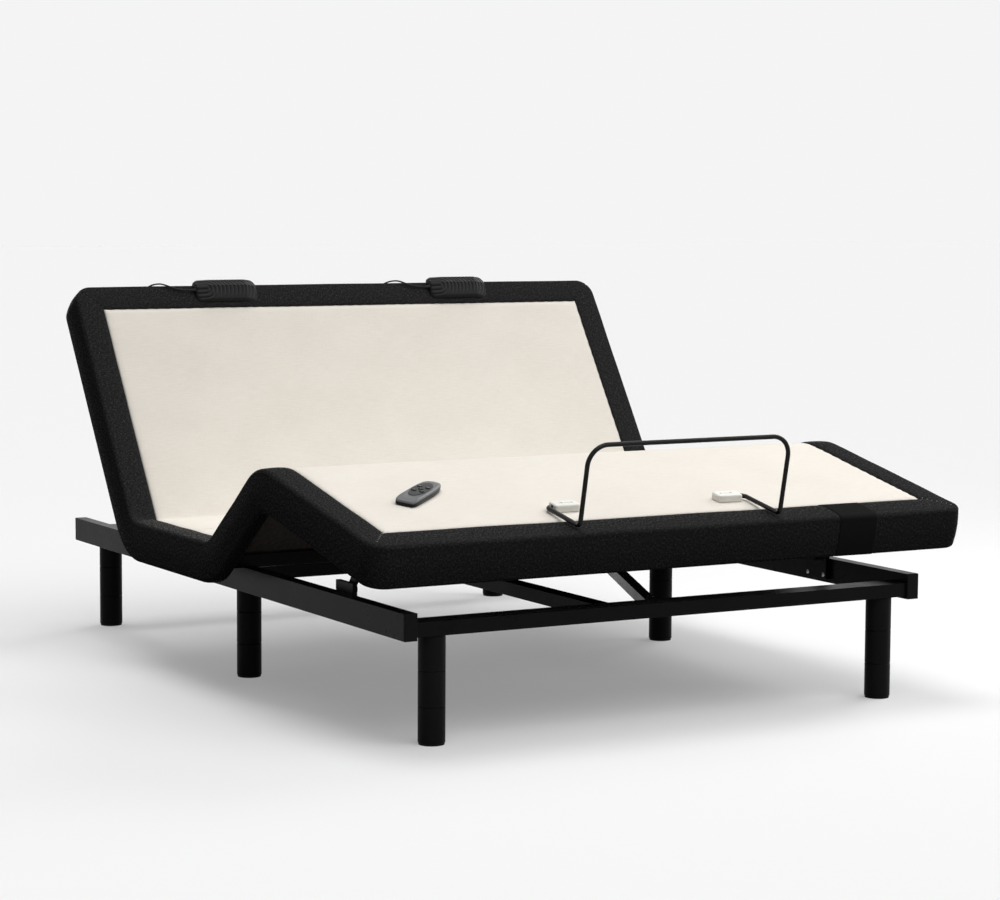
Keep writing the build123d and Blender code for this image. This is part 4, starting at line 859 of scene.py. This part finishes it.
# each stitch is a circle carried along a short line that dives at both ends, where its radius falls away
def stitches(end, endBorder, place, count):
    grids = []
    way = np.linspace(-0.5, 0.5, stitch["rings"])
    angle = fullTurn(stitch["around"])[None, :, None]
    inward = np.full(stitch["rings"], deck["border"])
    lift = deck["top"] + stitch["proud"] - stitch["dive"] * np.abs(2 * way) ** 3
    thick = stitch["radius"] * np.sqrt(np.maximum(1 - np.abs(2 * way) ** 4, 0.02))
    for side in (-1, 1):
        for at in np.linspace(stitch["first"], stitch["last"], count):
            fromSide = at * deck["border"] + way * stitch["length"] * stitch["leanSide"]
            fromEnd = at * endBorder - way * stitch["length"] * stitch["leanEnd"]
            x, s = side * (deck["half"] - fromSide), end - fromEnd
            middle = place(x, s, lift, inward)
            run = unit(np.gradient(middle, axis=0))
            up = unit(place(x, s, lift + 0.01, inward) - middle)
            beside = np.cross(run, up)
            ring = up[:, None] * np.cos(angle) + beside[:, None] * np.sin(angle)
            grids.append(middle[:, None] + thick[:, None, None] * ring)
    return grids


footGrids = stitches(deck["calfLength"], deck["footBorder"], atKnee, stitch["footCount"])
footStitches = dress(gridsMesh("footStitches", footGrids), threadGrey)
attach(footStitches, "calf")
headGrids = stitches(deck["headLength"], deck["border"], atHead, stitch["headCount"])
headStitches = dress(gridsMesh("headStitches", headGrids), threadDark)
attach(headStitches, "head")
print("corners stitched")

easing = {
    "join": 0.00002, "flat": radians(0.5), "edge": radians(32), "segments": 2,
    "widths": {0.0045: rails + ["rail_end_caps"], 0.0030: tubes + boxes, 0.0012: brackets + nuts,
               0.0006: keyNodes + ["remote_face", "leg_glides", "cord_grommets"]},
}


# edges eased: loose triangles joined, flat faces merged, and edges sharper than the limit rounded
def easeEdges(name, width):
    piece = node[name]
    joined = piece.modifiers.new("joined", "WELD")
    joined.merge_threshold = easing["join"]
    merged = piece.modifiers.new("merged", "DECIMATE")
    merged.decimate_type, merged.angle_limit = "DISSOLVE", easing["flat"]
    rounded = piece.modifiers.new("eased", "BEVEL")
    rounded.width, rounded.segments = width, easing["segments"]
    rounded.limit_method, rounded.angle_limit = "ANGLE", easing["edge"]
    rounded.harden_normals = True


for width, names in easing["widths"].items():
    for name in names:
        easeEdges(name, width)
print("edges eased")

# camera: place in metres, turns in degrees, focal length in pixels of the picture's width
cameraSpot = {
    "place": (-3.22799, -5.79330, 1.13996), "yaw": 29.6204, "pitch": 5.4503, "roll": 0.3429,
    "focal": 2800.49, "pictureWidth": 1000.0, "sensor": 36.0,
}


def makeCamera():
    yaw, pitch, roll = (radians(cameraSpot[k]) for k in ("yaw", "pitch", "roll"))
    forward = Vector((sin(yaw) * cos(pitch), cos(yaw) * cos(pitch), -sin(pitch)))
    right = Vector((cos(yaw), -sin(yaw), 0))
    up = right.cross(forward)
    rolledRight = right * cos(roll) + up * sin(roll)
    rolledUp = up * cos(roll) - right * sin(roll)
    data = bpy.data.cameras.new("photoCamera")
    data.sensor_width = cameraSpot["sensor"]
    data.lens = cameraSpot["focal"] * cameraSpot["sensor"] / cameraSpot["pictureWidth"]
    data.clip_end = 60.0
    camera = linked("photoCamera", data)
    turn = Matrix((rolledRight, rolledUp, -forward)).transposed().to_4x4()
    camera.matrix_world = Matrix.Translation(cameraSpot["place"]) @ turn
    bpy.context.scene.camera = camera


makeCamera()
print("camera set")

# suns as (power, softness in degrees, direction towards the light); the floor shows part of its own white
studio = {
    "backdrop": 0.905, "fill": 0.055, "floorSeen": 0.883, "floorBounce": 0.13, "floorGlow": 0.31,
    "floorSize": 40.0,
    "suns": {
        "keySun": (1.15, 28, (-0.05, 0.26, 0.964)),
        "frontSun": (1.90, 70, (0.16, -0.50, 0.85)),
        "rimSun": (0.62, 25, (0.76, 0.38, 0.52)),
    },
    "softbox": {"power": 20.0, "size": 1.2, "place": (2.6, -0.6, 1.9), "aim": (0.2, 0.2, 0.5)},
}


# rays that show the pale surroundings: the camera's own, and those that shiny or clear surfaces send on
def shownRays(tree):
    path = step(tree, "ShaderNodeLightPath").outputs
    shown = mathOf(tree, path["Is Camera Ray"], path["Is Glossy Ray"], "MAXIMUM")
    return mathOf(tree, shown, path["Is Transmission Ray"], "MAXIMUM")


def mixShaders(tree, factor, first, second):
    return step(tree, "ShaderNodeMixShader", {0: factor, 1: first.outputs[0], 2: second.outputs[0]})


def makeWorld():
    world = bpy.data.worlds.new("studioWorld")
    bpy.context.scene.world = world
    world.use_nodes = True
    tree = world.node_tree
    tree.nodes.clear()
    seen = step(tree, "ShaderNodeBackground", {"Color": (1, 1, 1, 1), "Strength": studio["backdrop"]})
    light = step(tree, "ShaderNodeBackground", {"Color": (1, 1, 1, 1), "Strength": studio["fill"]})
    mixed = mixShaders(tree, shownRays(tree), light, seen)
    step(tree, "ShaderNodeOutputWorld", {"Surface": mixed.outputs[0]})


def makeLamps():
    for name, (power, spread, toLight) in studio["suns"].items():
        data = bpy.data.lights.new(name, "SUN")
        data.energy, data.angle = power, radians(spread)
        linked(name, data).rotation_euler = Vector(toLight).to_track_quat("Z", "Y").to_euler()
    box = studio["softbox"]
    data = bpy.data.lights.new("softbox", "AREA")
    data.energy, data.size = box["power"], box["size"]
    turn = (Vector(box["place"]) - Vector(box["aim"])).to_track_quat("Z", "Y").to_matrix().to_4x4()
    linked("softbox", data).matrix_world = Matrix.Translation(box["place"]) @ turn


# pale floor: white with a shadow over part of it, a duller white to rays that only light, clear from below
def paleFloor():
    coat, tree, shader = surface("paleFloor", (studio["floorBounce"],) * 3, 0.9, Specular_IOR_Level=0.0)
    seen = step(tree, "ShaderNodeBsdfDiffuse", {"Color": (*(studio["floorSeen"],) * 3, 1)})
    glow = step(tree, "ShaderNodeEmission", {"Color": (1, 1, 1, 1), "Strength": studio["backdrop"]})
    mixed = mixShaders(tree, shownRays(tree), shader, mixShaders(tree, studio["floorGlow"], seen, glow))
    below = step(tree, "ShaderNodeNewGeometry").outputs["Backfacing"]
    mixed = mixShaders(tree, below, mixed, step(tree, "ShaderNodeBsdfTransparent"))
    tree.links.new(mixed.outputs[0], tree.nodes["Material Output"].inputs["Surface"])
    return coat


def makeFloor():
    far = studio["floorSize"]
    mesh = bpy.data.meshes.new("floor")
    mesh.from_pydata([(-far, -far, 0), (far, -far, 0), (far, far, 0), (-far, far, 0)], [], [(0, 1, 2, 3)])
    mesh.materials.append(paleFloor())
    floor = linked("floor", mesh)


makeWorld()
makeLamps()
makeFloor()
bpy.context.scene.view_settings.view_transform = "Standard"
print("studio lit")
